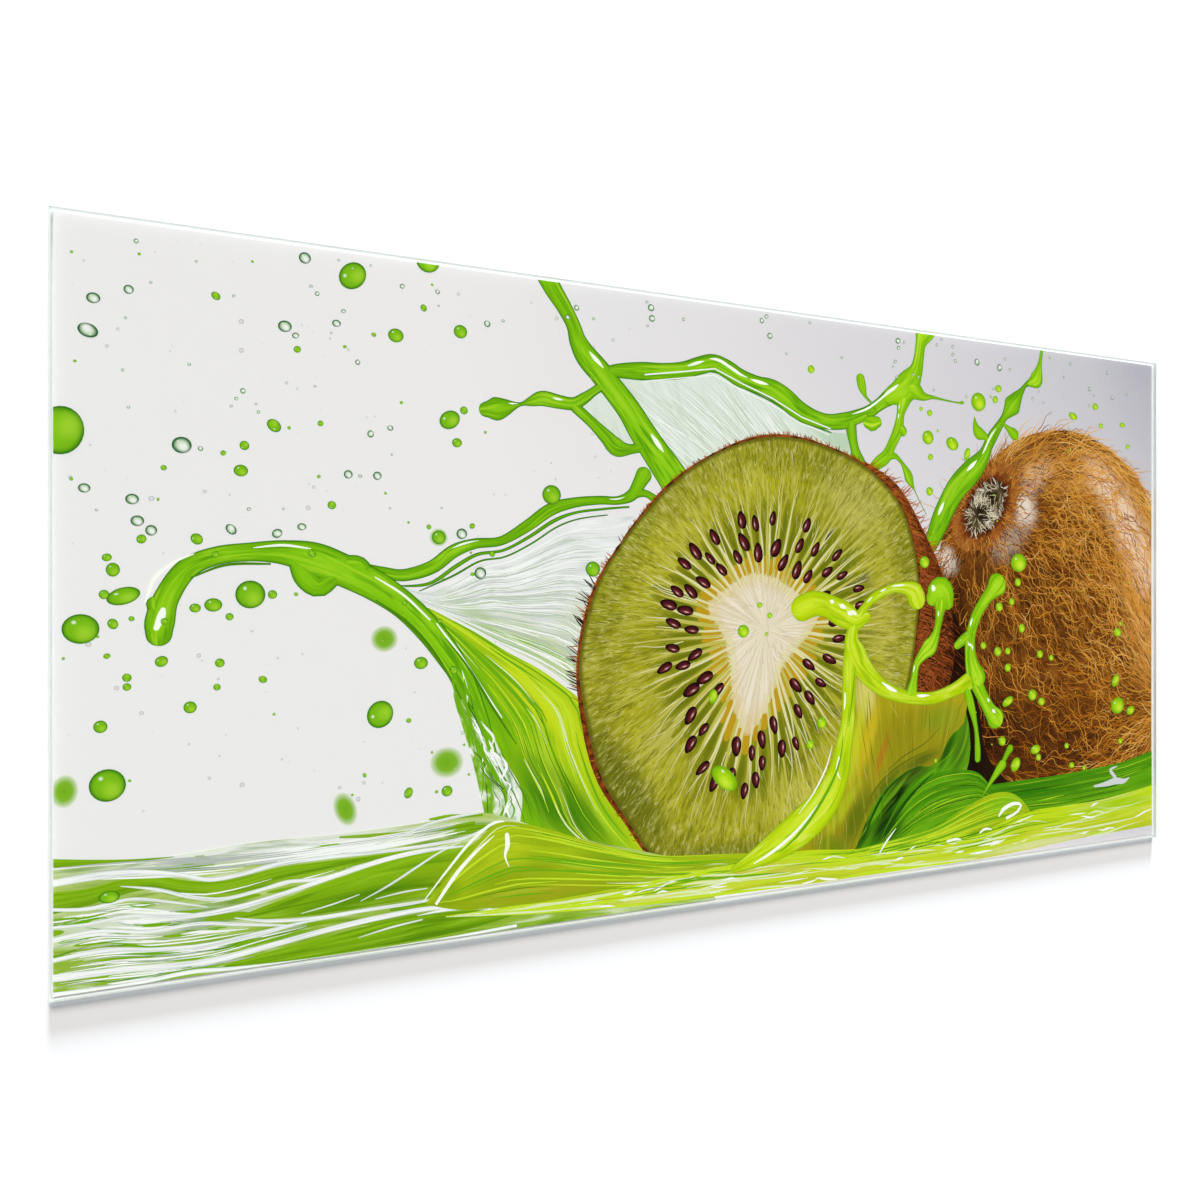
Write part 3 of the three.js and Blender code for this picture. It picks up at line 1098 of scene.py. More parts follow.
cream = lay_on(cream, "D6C07A", band(tree, out, 0.2, 0.29, 0.0, 0.6))
core_edge = maths(tree, "MULTIPLY_ADD", core_noise, -0.05, out)
tone = lay_on(tone, cream, band(tree, core_edge, CORE - 0.008, CORE - 0.036))
tone = lay_on(tone, "5C5A12", band(tree, out, 0.972, 0.995, 0.0, 0.85))
dye(tree, tone)
print_piece(face, flesh)

# %% [markdown]
# ## Rays and fibres
#
# The pale rays are the walls between the chambers of the fruit. Each starts broad at the core and
# thins as it runs out, and now and then one forks. Between two rays lies a chamber, a long dark
# oval with a golden root. Between and beyond them the cut flesh is fibrous, so thousands of short
# threads lie along the rays, light on dark and dark on light.

# %% Rays and fibres


def at_face(turn, out):
    """The place on the face at a turn and a way out, where the core's edge is 0 and the rim 1."""
    inner, outer = float(core_outline(turn)), float(face_outline(turn))
    return from_centre(FACE_CENTRE, turn, inner + out * (outer - inner))


def ray_thread(dice, turn, start, stop, width, bend):
    rows = []
    sway, phase = dice.gauss(0, bend), dice.uniform(0, 6)
    for k in range(11):
        t = k / 10
        x, y = at_face(turn + sway * t * t + 0.012 * math.sin(phase + 6 * t), start + (stop - start) * t)
        rows.append((x, y, width * (1 - t) ** 0.8 * (0.45 + 0.55 * min(1, 6 * t)) + 0.25))
    return rows


RAYS = 62
FACE_FIBRES = 4200
CORE_FIBRES = 420
dice = random.Random(52)
rays, chambers, golden_roots = {"ray": [], "straw": []}, [], []
for k in range(RAYS):
    turn = (k + dice.uniform(-0.22, 0.22)) / RAYS * 2 * math.pi
    root = dice.uniform(1.9, 3.3)
    rays["straw"].append(ray_thread(dice, turn, -0.02, dice.uniform(0.62, 0.86), root * 1.15, 0.03))
    rays["ray"].append(ray_thread(dice, turn, -0.07, dice.uniform(0.4, 0.66), root, 0.03))
    if dice.random() < 0.6:
        fork = turn + dice.uniform(-0.03, 0.03)
        rays["ray"].append(ray_thread(dice, fork, dice.uniform(0.05, 0.3), dice.uniform(0.5, 0.8), 0.9, 0.06))
    chamber = chambers, 0.06, dice.uniform(0.46, 0.58), 0.82
    for kept, low, high, share in (chamber, (golden_roots, -0.01, dice.uniform(0.09, 0.18), 0.86)):
        start, stop = at_face(turn + math.pi / RAYS, low), at_face(turn + math.pi / RAYS, high)
        middle = ((start[0] + stop[0]) / 2, (start[1] + stop[1]) / 2)
        wide = 2 * math.pi / RAYS * math.dist(middle, FACE_CENTRE) * share
        lean = math.atan2(stop[1] - start[1], stop[0] - start[0])
        kept.append((*middle, lean, math.dist(start, stop), wide))
print_threads("face_rays", "face_rays", rays)
fibres = {"straw": [], "ray": [], "olive": [], "moss": []}
for _ in range(FACE_FIBRES):
    turn = dice.uniform(0, 2 * math.pi)
    start = 1 - 0.62 * dice.random() ** 1.4
    x, y = at_face(turn, min(start, 0.975))
    shade = dice.choice(("straw",) * 7 + ("olive",) * 6 + ("moss",) * 2 + ("ray",))
    if x + 0.6 * y < -150:
        shade = dice.choice(("straw", "olive", "olive", "moss", "moss"))
    heading = turn + math.pi + dice.gauss(0.12, 0.16)
    fibres[shade].append(grow(dice, x, y, heading, dice.uniform(4, 13), dice.uniform(0.22, 0.48), 0.12, 3))
print_threads("face_fibres", "face_fibres", fibres)
fibres = {"cream": [], "buff": []}
for _ in range(CORE_FIBRES):
    turn, out = dice.uniform(0, 2 * math.pi), math.sqrt(dice.random())
    x, y = from_centre(FACE_CENTRE, turn, float(core_outline(turn)) * out * 0.92)
    heading = math.atan2(y + 17, x - 26) + dice.gauss(0.25, 0.3)
    hairs = fibres[dice.choice(("cream", "cream", "cream", "buff"))]
    hairs.append(grow(dice, x, y, heading, dice.uniform(4, 13), dice.uniform(0.25, 0.55), 0.2, 5))
print_threads("core_fibres", "face_rays", fibres)

# %% [markdown]
# ## Seeds
#
# A seed is a small, glossy, dark drop shape. It is modelled once, its map is its own flat view,
# and its copies are set round the core at seeded places, each turned to point at the middle. The
# chambers between the rays are made the same way, and so are the drops further on.

# %% Seeds
MIDDLE = (0.5, 0.5, 0.0)  # of a small oval's own map
seed_ink, tree = ink("seed_print_maroon")
own = where(tree, "UV")
tone = blend(tree, band(tree, vector(tree, "DISTANCE", own, MIDDLE), 0.2, 0.46), "4E161C", "1C060A")
streak = vector(tree, "MULTIPLY", vector(tree, "SUBTRACT", own, (0.42, 0.64, 0.0)), (0.45, 1.0, 0.0))
sheen = vector(tree, "LENGTH", streak)
tone = blend(tree, band(tree, sheen, 0.22, 0.05, 0.0, 0.7), tone, "8E4644")
dye(tree, blend(tree, band(tree, sheen, 0.075, 0.03, 0.0, 0.9), tone, "E2C4BE"))


def scatter(name, level, places, material, columns=24, size=(1.0, 1.0), taper=0.0):
    """Copies of a small oval at each (x, y, turn, size across, size up), all in one piece.

    The oval is flat on its own map, and one of its ends is narrower by taper.
    """

    def rule(along, across):
        x, y = across * np.cos(along * 2 * np.pi), across * np.sin(along * 2 * np.pi)
        high = y * size[1] / 2 * (1 - taper * x)
        return x * size[0] / 2, high, 0.5 + 0.5 * x, 0.5 + 0.5 * y, (1 - across) * min(size) / 2

    model = lay(f"{name}_model", level, columns, 3, rule)
    made = []
    for k, (x, y, turn, wide, high) in enumerate(places):
        twin = model.copy()
        twin.data = model.data.copy()
        twin.name = f"{name}_{k}"
        bpy.context.scene.collection.objects.link(twin)
        moved = Matrix.Translation((x * MM, y * MM, 0)) @ Matrix.Rotation(turn, 4, "Z")
        twin.data.transform(moved @ Matrix.Diagonal((wide, high, 1, 1)))
        made.append(twin)
    bpy.data.objects.remove(model)
    print_piece(join(name, made), material)


chamber_ink, tree = ink("flesh_print_chamber")
out = maths(tree, "MULTIPLY", vector(tree, "DISTANCE", where(tree, "UV"), MIDDLE), 2.0)
dye(tree, ramp(tree, out, [(0.0, "6B7410"), (0.5, "757C12"), (0.8, "858A18"), (1.0, "97951F")]))
scatter("face_cells", "face_cells", chambers, chamber_ink, columns=20, taper=-0.25)
scatter("golden_cells", "face_fibres", golden_roots, ink("flesh_print_golden", "BF9A1C")[0], columns=20)
SEEDS = 64
SEED_SIZE = (16.0, 8.6)
dice = random.Random(5)
places = []
for _ in range(4000):
    turn = dice.uniform(0, 2 * math.pi)
    x, y = at_face(turn, dice.uniform(0.10, 0.44))
    gap = 15.5 if -2.6 < math.atan2(y - FACE_CENTRE[1], x - FACE_CENTRE[0]) < -1.9 else 12.5
    if len(places) < SEEDS and all(math.hypot(x - a, y - b) > gap for a, b, *_ in places):
        size = dice.uniform(0.82, 1.1)
        places.append((x, y, turn + dice.gauss(0, 0.16), size, size * dice.uniform(0.85, 1.05)))
scatter("seeds", "seed", places, seed_ink, columns=20, size=SEED_SIZE, taper=0.18)
print(len(places), "seeds")

# %% Hairs at the rim of the half fruit
RIM_HAIRS = [  # from and to in degrees, how many, and the longest in mm
    (160, 200, 26, 12), (150, 205, 40, 6), (205, 240, 34, 5), (95, 150, 60, 4), (55, 95, 90, 5),
    (18, 55, 90, 12),
]
dice = random.Random(41)
rim_hairs = {"russet": [], "amber": [], "umber": []}
for _ in range(22):
    turn = math.radians(dice.uniform(166, 196))
    x, y = from_centre(FACE_CENTRE, turn, float(face_outline(turn)) + 1.5)
    heading = turn - 0.6 + dice.gauss(0, 0.2)
    rim_hairs["umber"].append(grow(dice, x, y, heading, dice.uniform(7, 13), dice.uniform(0.9, 1.3), 0.1, 4))
for low, high, count, longest in RIM_HAIRS:
    for _ in range(count):
        turn = math.radians(dice.uniform(low, high))
        x, y = from_centre(FACE_CENTRE, turn, float(face_outline(turn)) + 1.2)
        heading = turn + dice.gauss(-0.5 if turn > 2.4 else -0.7 if turn < 0.95 else 0.6, 0.35)
        hairs = rim_hairs[dice.choice(("russet", "amber"))]
        hairs.append(grow(dice, x, y, heading, dice.uniform(2.5, longest), dice.uniform(0.6, 1.1), 0.1, 4))
print_threads("half_rim", "rim_hairs", rim_hairs)

# %% [markdown]
# ## Pool
#
# The pool lies across the foot of the picture. Its juice is green glass with the white studio
# mirrored in it, so it shows as long white lines that run together towards the splash. The base
# carries slow bands of green, and the lines are threads along it, dense and fine at the lower
# left and broad at the bottom.

# %% Pool with ripples
pool_top = [(-505, -168), (-460, -168), (-420, -166), (-380, -163), (-330, -163), (-270, -161), (-220, -158),
            (-160, -180), (-60, -210)]
pool_low = [(-505, -252), (-450, -252), (-400, -252), (-350, -252), (-300, -252), (-250, -252), (-180, -252),
            (-100, -252), (-20, -252)]
pool_ink = flowing(
    "pool_print_clear", "AFC868", "92B636", "DDE8C4", "608F14", scale=(0.8, 14.0), line_share=0.7,
    dabs=[(-360, -168, 190, 9, 0, "E6EAE3", 1.0), (-440, -208, 90, 12, -2, "DDE5D8", 0.8),
          (-210, -222, 60, 14, 0, "A3BA1E", 0.9), (-100, -226, 90, 16, 0, "A8BB2C", 0.9)],
)
print_piece(patch("pool", "pool", pool_top, pool_low, 10), pool_ink)
bands = [
    ([(-505, -160), (-480, -163.5), (-455, -166), (-430, -167)],
     [(-505, -166), (-480, -168), (-455, -168), (-430, -167.5)]),
    ([(-436, -177), (-424, -173), (-418, -168.5), (-411, -168.5), (-406, -173), (-404, -178)],
     [(-436, -178), (-424, -179), (-416, -179.5), (-410, -180), (-406, -180), (-404, -179)]),
    ([(-372, -180), (-352, -172), (-338, -168.5), (-324, -170), (-308, -177)],
     [(-372, -181), (-352, -180.5), (-338, -180), (-324, -179.5), (-308, -178.5)]),
    ([(-325, -164.5), (-300, -165), (-275, -165.5), (-250, -165), (-228, -163)],
     [(-325, -166), (-300, -168), (-275, -168.5), (-250, -168), (-228, -167)]),
    ([(-262, -158), (-248, -156.5), (-234, -157.5), (-222, -158)],
     [(-262, -159.5), (-248, -160), (-234, -160), (-222, -160)]),
    ([(-252, -171), (-238, -167), (-224, -166), (-214, -168)],
     [(-252, -172.5), (-238, -172.5), (-224, -172), (-214, -170)]),
    ([(-505, -182), (-480, -182), (-460, -178.5), (-440, -178.5), (-425, -183), (-405, -186.5),
      (-385, -185.5), (-365, -182), (-330, -181), (-300, -180.5), (-262, -179.5)],
     [(-505, -197), (-480, -193), (-462, -189), (-445, -187), (-430, -193), (-410, -197), (-390, -196.5),
      (-370, -193.5), (-335, -190), (-300, -185), (-262, -182)]),
    ([(-394, -213), (-370, -206), (-345, -199), (-318, -192), (-290, -186), (-262, -182.5), (-236, -182),
      (-215, -175)],
     [(-394, -214), (-370, -216.5), (-345, -217.5), (-318, -217), (-290, -216), (-268, -215), (-250, -216),
      (-230, -218)]), ([(-478, -240), (-462, -238), (-440, -238), (-420, -241)],
     [(-478, -242), (-462, -245), (-440, -245.5), (-420, -243)]),
    ([(-405, -245), (-380, -240), (-350, -236), (-310, -231), (-270, -227), (-230, -229), (-190, -235)],
     [(-405, -246.5), (-380, -247), (-350, -247), (-310, -247), (-270, -246), (-230, -243), (-190, -236)]),
    ([(-290, -220), (-262, -219), (-240, -219), (-215, -220), (-180, -222)],
     [(-290, -222), (-262, -224), (-240, -226), (-215, -229), (-180, -232)]),
]
green_ink = flowing(
    "pool_print_green", "86B814", "6F9F0E", "A4CC34", "47790A", scale=(0.7, 5.0), turn_at=(0.1, 0.9),
    line_share=0.6,
    dabs=[(-240, -200, 60, 18, 10, "94B014", 0.6), (-300, -208, 60, 7, 8, "558A0C", 0.7),
          (-275, -164, 60, 3, 2, "A9C648", 0.7)],
)
green_bands = [
    patch(f"band_{k}", "pool_green", *lines, rows=6, shift=3.1 * k) for k, lines in enumerate(bands)
]
print_piece(join("pool_bands", green_bands), green_ink)
lenses = [(-430, -204.5, 34, 3), (-398, -211, 28, 4.5), (-478, -200, 22, 3.4), (-500, -208, 16, 4),
          (-452, -196, 22, 2.6), (-470, -217, 34, 3.2), (-420, -219, 34, 3), (-360, -197.5, 26, 2.6),
          (-386, -199.5, 20, 3), (-500, -224, 22, 4.4), (-456, -230, 34, 4.4), (-400, -232, 60, 3.6),
          (-345, -224, 40, 2.4), (-300, -229, 34, 2), (-440, -211, 18, 2), (-310, -214.5, 30, 1.6),
          (-250, -233, 30, 4), (-490, -214, 12, 2)]
lens_ink = ink("pool_print_lens", "7FAE16")[0]
dice = random.Random(16)
scatter("pool_lenses", "pool_green", [(x, y, dice.gauss(0, 0.04), *size) for x, y, *size in lenses], lens_ink)
waves = [
    [(-505, -177, 5), (-470, -174.5, 5), (-445, -176, 4), (-425, -180, 3), (-408, -185, 3),
     (-388, -183.5, 3.2), (-365, -179.5, 3.2), (-335, -178.5, 3), (-300, -178.5, 2.6), (-262, -177.5, 2.6),
     (-235, -174.5, 2), (-222, -170, 1.2)],
    [(-238, -181, 1.4), (-262, -181, 3.2), (-290, -184, 3.6), (-315, -189, 3.6), (-340, -195, 3.4),
     (-365, -201, 3.4), (-395, -206.5, 4), (-425, -207.5, 3), (-455, -203, 2.4), (-480, -205, 2.2),
     (-505, -204, 2)],
    [(-460, -183, 0.8), (-440, -187.5, 2.2), (-420, -195, 2.6), (-400, -199, 2.6), (-378, -196, 2.4),
     (-360, -192.5, 2.6), (-340, -193, 2.4), (-318, -189, 1)],
    [(-505, -192, 2.2), (-480, -195, 2.4), (-455, -192, 2.2), (-435, -196, 1.8), (-410, -203, 1)],
    [(-392, -213, 1), (-370, -218, 2.4), (-340, -220, 2.6), (-305, -219, 2.8), (-275, -218.5, 2.4),
     (-250, -217, 1)],
    [(-505, -236, 4.5), (-465, -237, 4), (-430, -239, 3.6), (-400, -239, 3.8), (-365, -234, 4),
     (-330, -229, 4), (-295, -225.5, 4), (-262, -224, 3.4), (-235, -226, 2), (-220, -227, 0.8)],
    [(-505, -247, 4), (-460, -247.5, 3), (-420, -245, 3), (-390, -247, 2.5), (-340, -248.5, 2),
     (-260, -248, 2), (-200, -246, 2.5)],
    [(-310, -212, 0.7), (-290, -203, 1.6), (-270, -192, 1.8), (-255, -184, 1.4), (-240, -178, 0.8)],
    [(-350, -215.5, 0.7), (-330, -212, 1.2), (-312, -207.5, 0.8)],
    [(-300, -212, 0.7), (-280, -209.5, 1.4), (-264, -209, 0.8)],
    [(-505, -226, 3), (-470, -223, 3), (-440, -227, 3), (-410, -228.5, 3), (-375, -225, 3), (-345, -221.5, 2),
     (-320, -221, 0.8)],
    [(-505, -213, 2.5), (-475, -210, 2.5), (-445, -214.5, 2.5), (-415, -213.5, 2.5), (-390, -217.5, 2.5),
     (-360, -222.5, 1.5)],
    [(-300, -173, 0.7), (-280, -168, 1.6), (-262, -162, 2.2), (-240, -158.5, 2.2), (-224, -157.5, 1)],
    [(-270, -228, 0.7), (-246, -226.5, 3), (-225, -228.5, 2.4), (-214, -231, 0.7)],
    [(-232, -232, 0.7), (-214, -231.5, 2.4), (-196, -234, 1.4), (-184, -237, 0.7)],
    [(-312, -238, 0.5), (-290, -234, 1.6), (-268, -231.5, 1.2)],
    [(-226, -218, 0.6), (-206, -219, 1.4), (-188, -222, 0.7)],
]
wave_ink = juice(
    "wave_print", [(0.0, "A9BFA0"), (0.1, "DCE5DC"), (0.4, "F0F4F0"), (1.0, "F4F6F4")],
    dark="B4BFC0", light="FBFDFB", reach=2.4,
)
strokes("pool_waves", "pool_waves", waves, wave_ink)
flat = [[place[:2] for place in wave] for wave in waves]
between = [(flat[3], flat[11][:4]), (flat[11][:5], flat[10][:5]), (flat[10][:6], flat[5][:6]),
           (flat[5][:5], flat[6][:4])]
dice = random.Random(17)
fine = {shade: [] for shade in ("white", "grey", "leaf", "dark")}
for first, second in between:
    fine["white"] += along(dice, first, second, 16, (0.5, 2.0), (0.15, 0.6), stray=0.08)
    fine["grey"] += along(dice, first, second, 12, (0.3, 0.9), (0.15, 0.5), stray=0.08)
    fine["leaf"] += along(dice, first, second, 10, (0.6, 2.0), (0.08, 0.3), stray=0.08)
    fine["dark"] += along(dice, first, second, 6, (0.3, 0.8), (0.08, 0.25), stray=0.08)
fine["white"] += along(dice, flat[0], flat[1][::-1], 5, (0.5, 1.4), (0.1, 0.3))
far_edge = (
    [(-500, -166), (-400, -168), (-300, -167), (-225, -160)],
    [(-500, -175), (-400, -182), (-300, -177), (-225, -171)],
)
fine["grey"] += along(dice, *far_edge, 40, (0.4, 1.4), (0.08, 0.4))
fine["white"] += along(dice, *far_edge, 34, (0.5, 1.8), (0.08, 0.4))
print_threads("pool", "pool_threads", fine)

# %% [markdown]
# ## Waves on the right
#
# On the right thick juice swells over the pool in waves like leaves: dark green at the back,
# brighter in front, each with fine lines that fan out from its root.

# %% Leaf-shaped waves
gap_ink = flowing("gap_print_dark", "1A1005", "241508", "3E240E", "0E0804")
print_piece(patch(
    "gap_shadow", "wave_back",
    [(226, -96), (238, -120), (244, -150), (240, -186)], [(256, -84), (262, -110), (272, -150), (306, -184)],
), gap_ink)
side_leaf = ([(240, -84), (226, -112), (202, -134), (168, -142), (134, -172), (102, -218)],
             [(252, -90), (258, -120), (255, -148), (236, -178), (206, -208), (150, -234)])
long_leaf = ([(250, -178), (310, -176), (360, -175), (410, -172), (455, -168), (505, -158)],
             [(250, -216), (320, -216), (360, -216), (410, -214), (455, -212), (505, -206)])
round_leaf = ([(142, -220), (158, -196), (176, -176), (204, -162), (236, -160), (262, -166), (284, -190)],
              [(146, -232), (176, -230), (206, -224), (240, -215), (262, -208), (276, -204), (288, -198)])
leaf_ink = flowing(
    "wave_print_leaf_green", "4C960E", "67A812", "7FBE1E", "2A6A08", scale=(0.5, 12.0), line_share=0.6,
    dabs=[(330, -188, 80, 11, 0, "2F7A0A", 0.8), (470, -178, 50, 12, 5, "63AC12", 0.7),
          (160, -206, 22, 14, 60, "1F5208", 0.9), (240, -172, 40, 10, -10, "5FA410", 0.7),
          (238, -140, 12, 34, -20, "4A7212", 0.9), (222, -140, 6, 26, -30, "24480A", 0.9),
          (246, -110, 8, 26, -5, "4E7E14", 0.7), (176, -163, 40, 9, 30, "3A3E12", 0.9),
          (160, -182, 36, 8, 45, "142A06", 1.0), (150, -204, 30, 12, 50, "1C3C0A", 1.0),
          (186, -162, 26, 4, 22, "4C741A", 0.9), (122, -212, 26, 12, 50, "2A4E0C", 1.0)],
)
print_piece(join("leaf_waves", [
    patch("side_leaf", "wave_back", *side_leaf), patch("long_leaf", "wave_mid", *long_leaf),
    patch("round_leaf", "wave_mid", *round_leaf, shift=3.0),
]), leaf_ink)
dice = random.Random(18)
leaf_lines = {  # on the long leaf, and on the round one
    "deep": ((12, (0.3, 1.0), (0.2, 0.6)), (12, (0.3, 0.8), (0.3, 0.8))),
    "dark": ((14, (0.4, 1.6), (0.2, 0.6)), (16, (0.4, 1.2), (0.3, 0.8))),
    "lime": ((5, (0.3, 0.9), (0.1, 0.4)), (9, (0.3, 0.7), (0.3, 0.8))),
    "leaf": ((16, (0.5, 2.0), (0.2, 0.6)), (16, (0.4, 1.4), (0.3, 0.8))),
}
print_threads("leaf_waves", "wave_mid_threads", {
    shade: along(dice, *long_leaf, *on_long) + along(dice, *round_leaf, *on_round)
    for shade, (on_long, on_round) in leaf_lines.items()
})

# %% [markdown]
# ## Funnel
#
# In front of the fruit the juice rises in a funnel. Its wall is a sheet like the others: yellow
# and olive where light falls through it. A few dark tapered folds run down to its foot.

# %% Wall of the funnel
funnel = (
    [(2, -226), (36, -208), (62, -187), (84, -160), (97, -131), (104, -108), (108, -84), (112, -56),
     (120, -60), (142, -77), (165, -87), (187, -91), (208, -91), (228, -86), (243, -80), (246, -98),
     (242, -116)],
    [(2, -234), (30, -236), (60, -237), (84, -237), (100, -235), (110, -230), (118, -220), (124, -208),
     (130, -196), (138, -184), (150, -171), (166, -160), (186, -153), (202, -154), (213, -148), (220, -136),
     (228, -126), (238, -120)],
)
funnel_ink = flowing(
    "funnel_print_olive", "B0A51A", "938E16", "C2B836", "74761A", scale=(8.0, 0.5), turn_at=(0.0, 1.0),
    line_share=0.35,
    dabs=[(180, -116, 44, 24, 20, "938C16", 0.8), (216, -110, 30, 18, 10, "8C9C1E", 0.85),
          (128, -84, 15, 30, 8, "DAD272", 0.95), (130, -126, 9, 46, -20, "CBB61E", 0.95),
          (147, -138, 5, 28, -22, "B07A1A", 0.85), (118, -128, 8, 52, -12, "C9D024", 0.9),
          (104, -184, 8, 36, -38, "AEBE1C", 0.85), (190, -148, 30, 7, 18, "5C6A14", 0.9),
          (150, -168, 34, 7, 42, "5F7012", 0.9), (118, -194, 13, 36, -30, "5A6E10", 0.85),
          (92, -218, 26, 14, -30, "6E8A12", 0.8)],
)
print_piece(patch("funnel", "funnel", *funnel, rows=24), funnel_ink)
dice = random.Random(19)
print_along("funnel", "funnel_threads", dice, funnel, {
    "olive": (14, (0.4, 1.0), (0.25, 0.5), (0.45, 0.97)),
    "straw": (34, (0.3, 0.7), (0.15, 0.4), (0.05, 0.8)),
    "lime": (10, (0.4, 1.4), (0.2, 0.5), (0.02, 0.25)),
}, turned=True, stray=0.01)
folds = {
    "deep": [[(190, -153, 0.5), (170, -160, 1.4), (152, -172, 2.2), (138, -190, 2.6), (126, -214, 1)],
             [(206, -160, 0.5), (190, -171, 2.0), (174, -184, 3.4), (160, -200, 3.0), (148, -216, 1)]],
    "dark": [[(210, -154, 0.5), (190, -164, 2.0), (172, -178, 2.6), (158, -196, 2.0), (146, -214, 0.6)],
             [(148, -172, 0.5), (147, -184, 1.4), (144, -198, 0.8)]],
    "olive": [[(204, -138, 0.5), (180, -145, 1.6), (156, -156, 2.4), (136, -174, 2.4), (122, -200, 1.4),
               (112, -222, 0.6)],
              [(214, -118, 0.5), (196, -132, 1.2), (172, -142, 1.4), (150, -156, 1.0)]],
}
print_threads("funnel_folds", "funnel_threads", {shade: drawn(*lines) for shade, lines in folds.items()})

# %% [markdown]
# ## Waves in front
#
# A mound of juice swells in front of the left splash, a leaf-shaped wave in front of the right
# one, and a long low wave joins them along the foot of the picture.

# %% Front waves
mound = ([(-264, -219), (-250, -204), (-232, -184), (-214, -168), (-203, -166), (-186, -170), (-168, -176),
          (-140, -187), (-116, -195), (-76, -206), (-20, -211), (40, -216)],
         [(-264, -221), (-240, -228), (-215, -230), (-190, -232), (-165, -233), (-140, -234), (-115, -235),
          (-90, -236), (-60, -237), (-30, -238), (20, -240), (60, -242)])
front_leaf = ([(96, -224), (150, -219), (205, -211), (240, -198), (272, -187), (296, -186), (314, -194),
               (330, -212)],
              [(96, -234), (160, -232), (205, -230), (245, -227), (275, -224), (305, -221), (325, -219),
               (344, -222)])
front_wave = ([(-250, -231), (-190, -231), (-120, -228), (-60, -224), (0, -220), (60, -217), (120, -222),
               (190, -221), (260, -221), (320, -208), (370, -206), (430, -204), (505, -195)],
              [(-250, -232), (-190, -238), (-120, -243), (-60, -245), (0, -246), (60, -247), (120, -247),
               (190, -247), (260, -247), (320, -245), (370, -242), (430, -240), (505, -238)])
mound_ink = flowing(
    "wave_print_bright_green", "A8C218", "93AE14", "BFD43A", "7A9C10", scale=(0.5, 7.0), line_share=0.45,
    dabs=[(-204, -188, 26, 18, 0, "B7CC1E", 0.9), (-170, -224, 70, 8, 0, "A2A41E", 0.7),
          (-120, -206, 44, 8, -14, "7FA012", 0.8), (-60, -224, 60, 8, 0, "9AAE2A", 0.7),
          (290, -198, 34, 12, 10, "8CC81C", 0.9), (150, -226, 50, 6, 0, "A8D01A", 0.8),
          (-248, -214, 14, 10, 40, "7FA80F", 0.8), (-190, -206, 40, 6, 8, "8FA612", 0.6)],
)
print_piece(join("bright_waves", [
    patch("mound", "wave_front", *mound), patch("front_leaf", "wave_front", *front_leaf, shift=5.0),
]), mound_ink)
front_ink = flowing(
    "wave_print_lime", "C2DC1A", "CCCC3C", "E2EA80", "9EC216", scale=(0.4, 4.0), turn_at=(0.2, 1.1),
    line_share=0.55,
    dabs=[(10, -230, 90, 8, 0, "C4BE52", 0.7), (-120, -234, 70, 8, 0, "A9B02E", 0.7),
          (200, -228, 70, 7, 0, "C8DC26", 0.7), (440, -212, 80, 9, 3, "A6CE14", 0.9),
          (330, -240, 140, 5, 2, "DDE3B0", 0.7)],
)
print_piece(patch("front_wave", "wave_top", *front_wave), front_ink)
dice = random.Random(20)
print_threads("front_waves", "wave_top_threads", {
    "white": along(dice, *front_wave, 44, (0.7, 2.4), (0.01, 0.04), (0.1, 0.97), stray=0.08),
    "pale": along(dice, *front_wave, 60, (0.8, 2.6), (0.03, 0.14), (0.2, 0.97), stray=0.08)
    + along(dice, *mound, 6, (0.4, 1.0), (0.06, 0.2)),
    "lime": along(dice, *front_wave, 40, (0.8, 2.6), (0.05, 0.2), stray=0.08)
    + along(dice, *mound, 14, (0.6, 2.0), (0.15, 0.5)) + along(dice, *front_leaf, 14, (0.5, 1.8), (0.3, 0.8)),
    "leaf": along(dice, *front_wave, 20, (0.5, 1.6), (0.05, 0.2), (0.0, 0.6), stray=0.08)
    + along(dice, *mound, 14, (0.5, 1.8), (0.15, 0.5)) + along(dice, *front_leaf, 18, (0.5, 1.6), (0.3, 0.8)),
    "dark": along(dice, *mound, 6, (0.3, 0.8), (0.1, 0.3)) + along(dice, *front_leaf, 6, (0.3, 0.9),
                                                                   (0.2, 0.6)),
})

# %% Foam lines at the foot
foam = [
    [(-266, -218, 0.6), (-250, -199, 1.6), (-232, -179, 2.2), (-216, -167, 2.2), (-206, -165.5, 1)],
    [(-256, -220, 2.2), (-242, -201, 3.0), (-228, -187, 2.2), (-214, -176, 0.6)],
    [(-203.5, -176, 3.2), (-203, -184, 3.6), (-205, -192, 1.6), (-202, -200, 0.6)],
    [(286, -208, 2.0), (292, -202, 4.0), (304, -198, 3.5), (314, -200, 2.6), (308, -207, 2.6),
     (296, -211, 3.0)],
    [(144, -228, 1.0), (152, -218, 2.0), (162, -208, 0.6)], [(262, -222, 1.5), (268, -219, 2.5),
                                                             (276, -220, 1.5)],
    [(222, -226, 2.0), (232, -225, 2.6), (238, -226, 1.4)],
]
strokes("foam_lines", "foam", foam, white_glint)
misty = [[(414, -190, 2), (430, -189, 5), (444, -187, 7), (456, -188, 5), (464, -185, 1)],
         [(446, -187, 4), (441, -180, 4), (436, -175, 3), (446, -172, 1.2)]]
strokes("pale_reflection", "foam", misty, plain["mist"])

# %% [markdown]
# ## Crown of juice in front
#
# The funnel has a thick bright rim that breaks into arms and round heads. They are strokes like
# the cords behind, in the yellower ink.

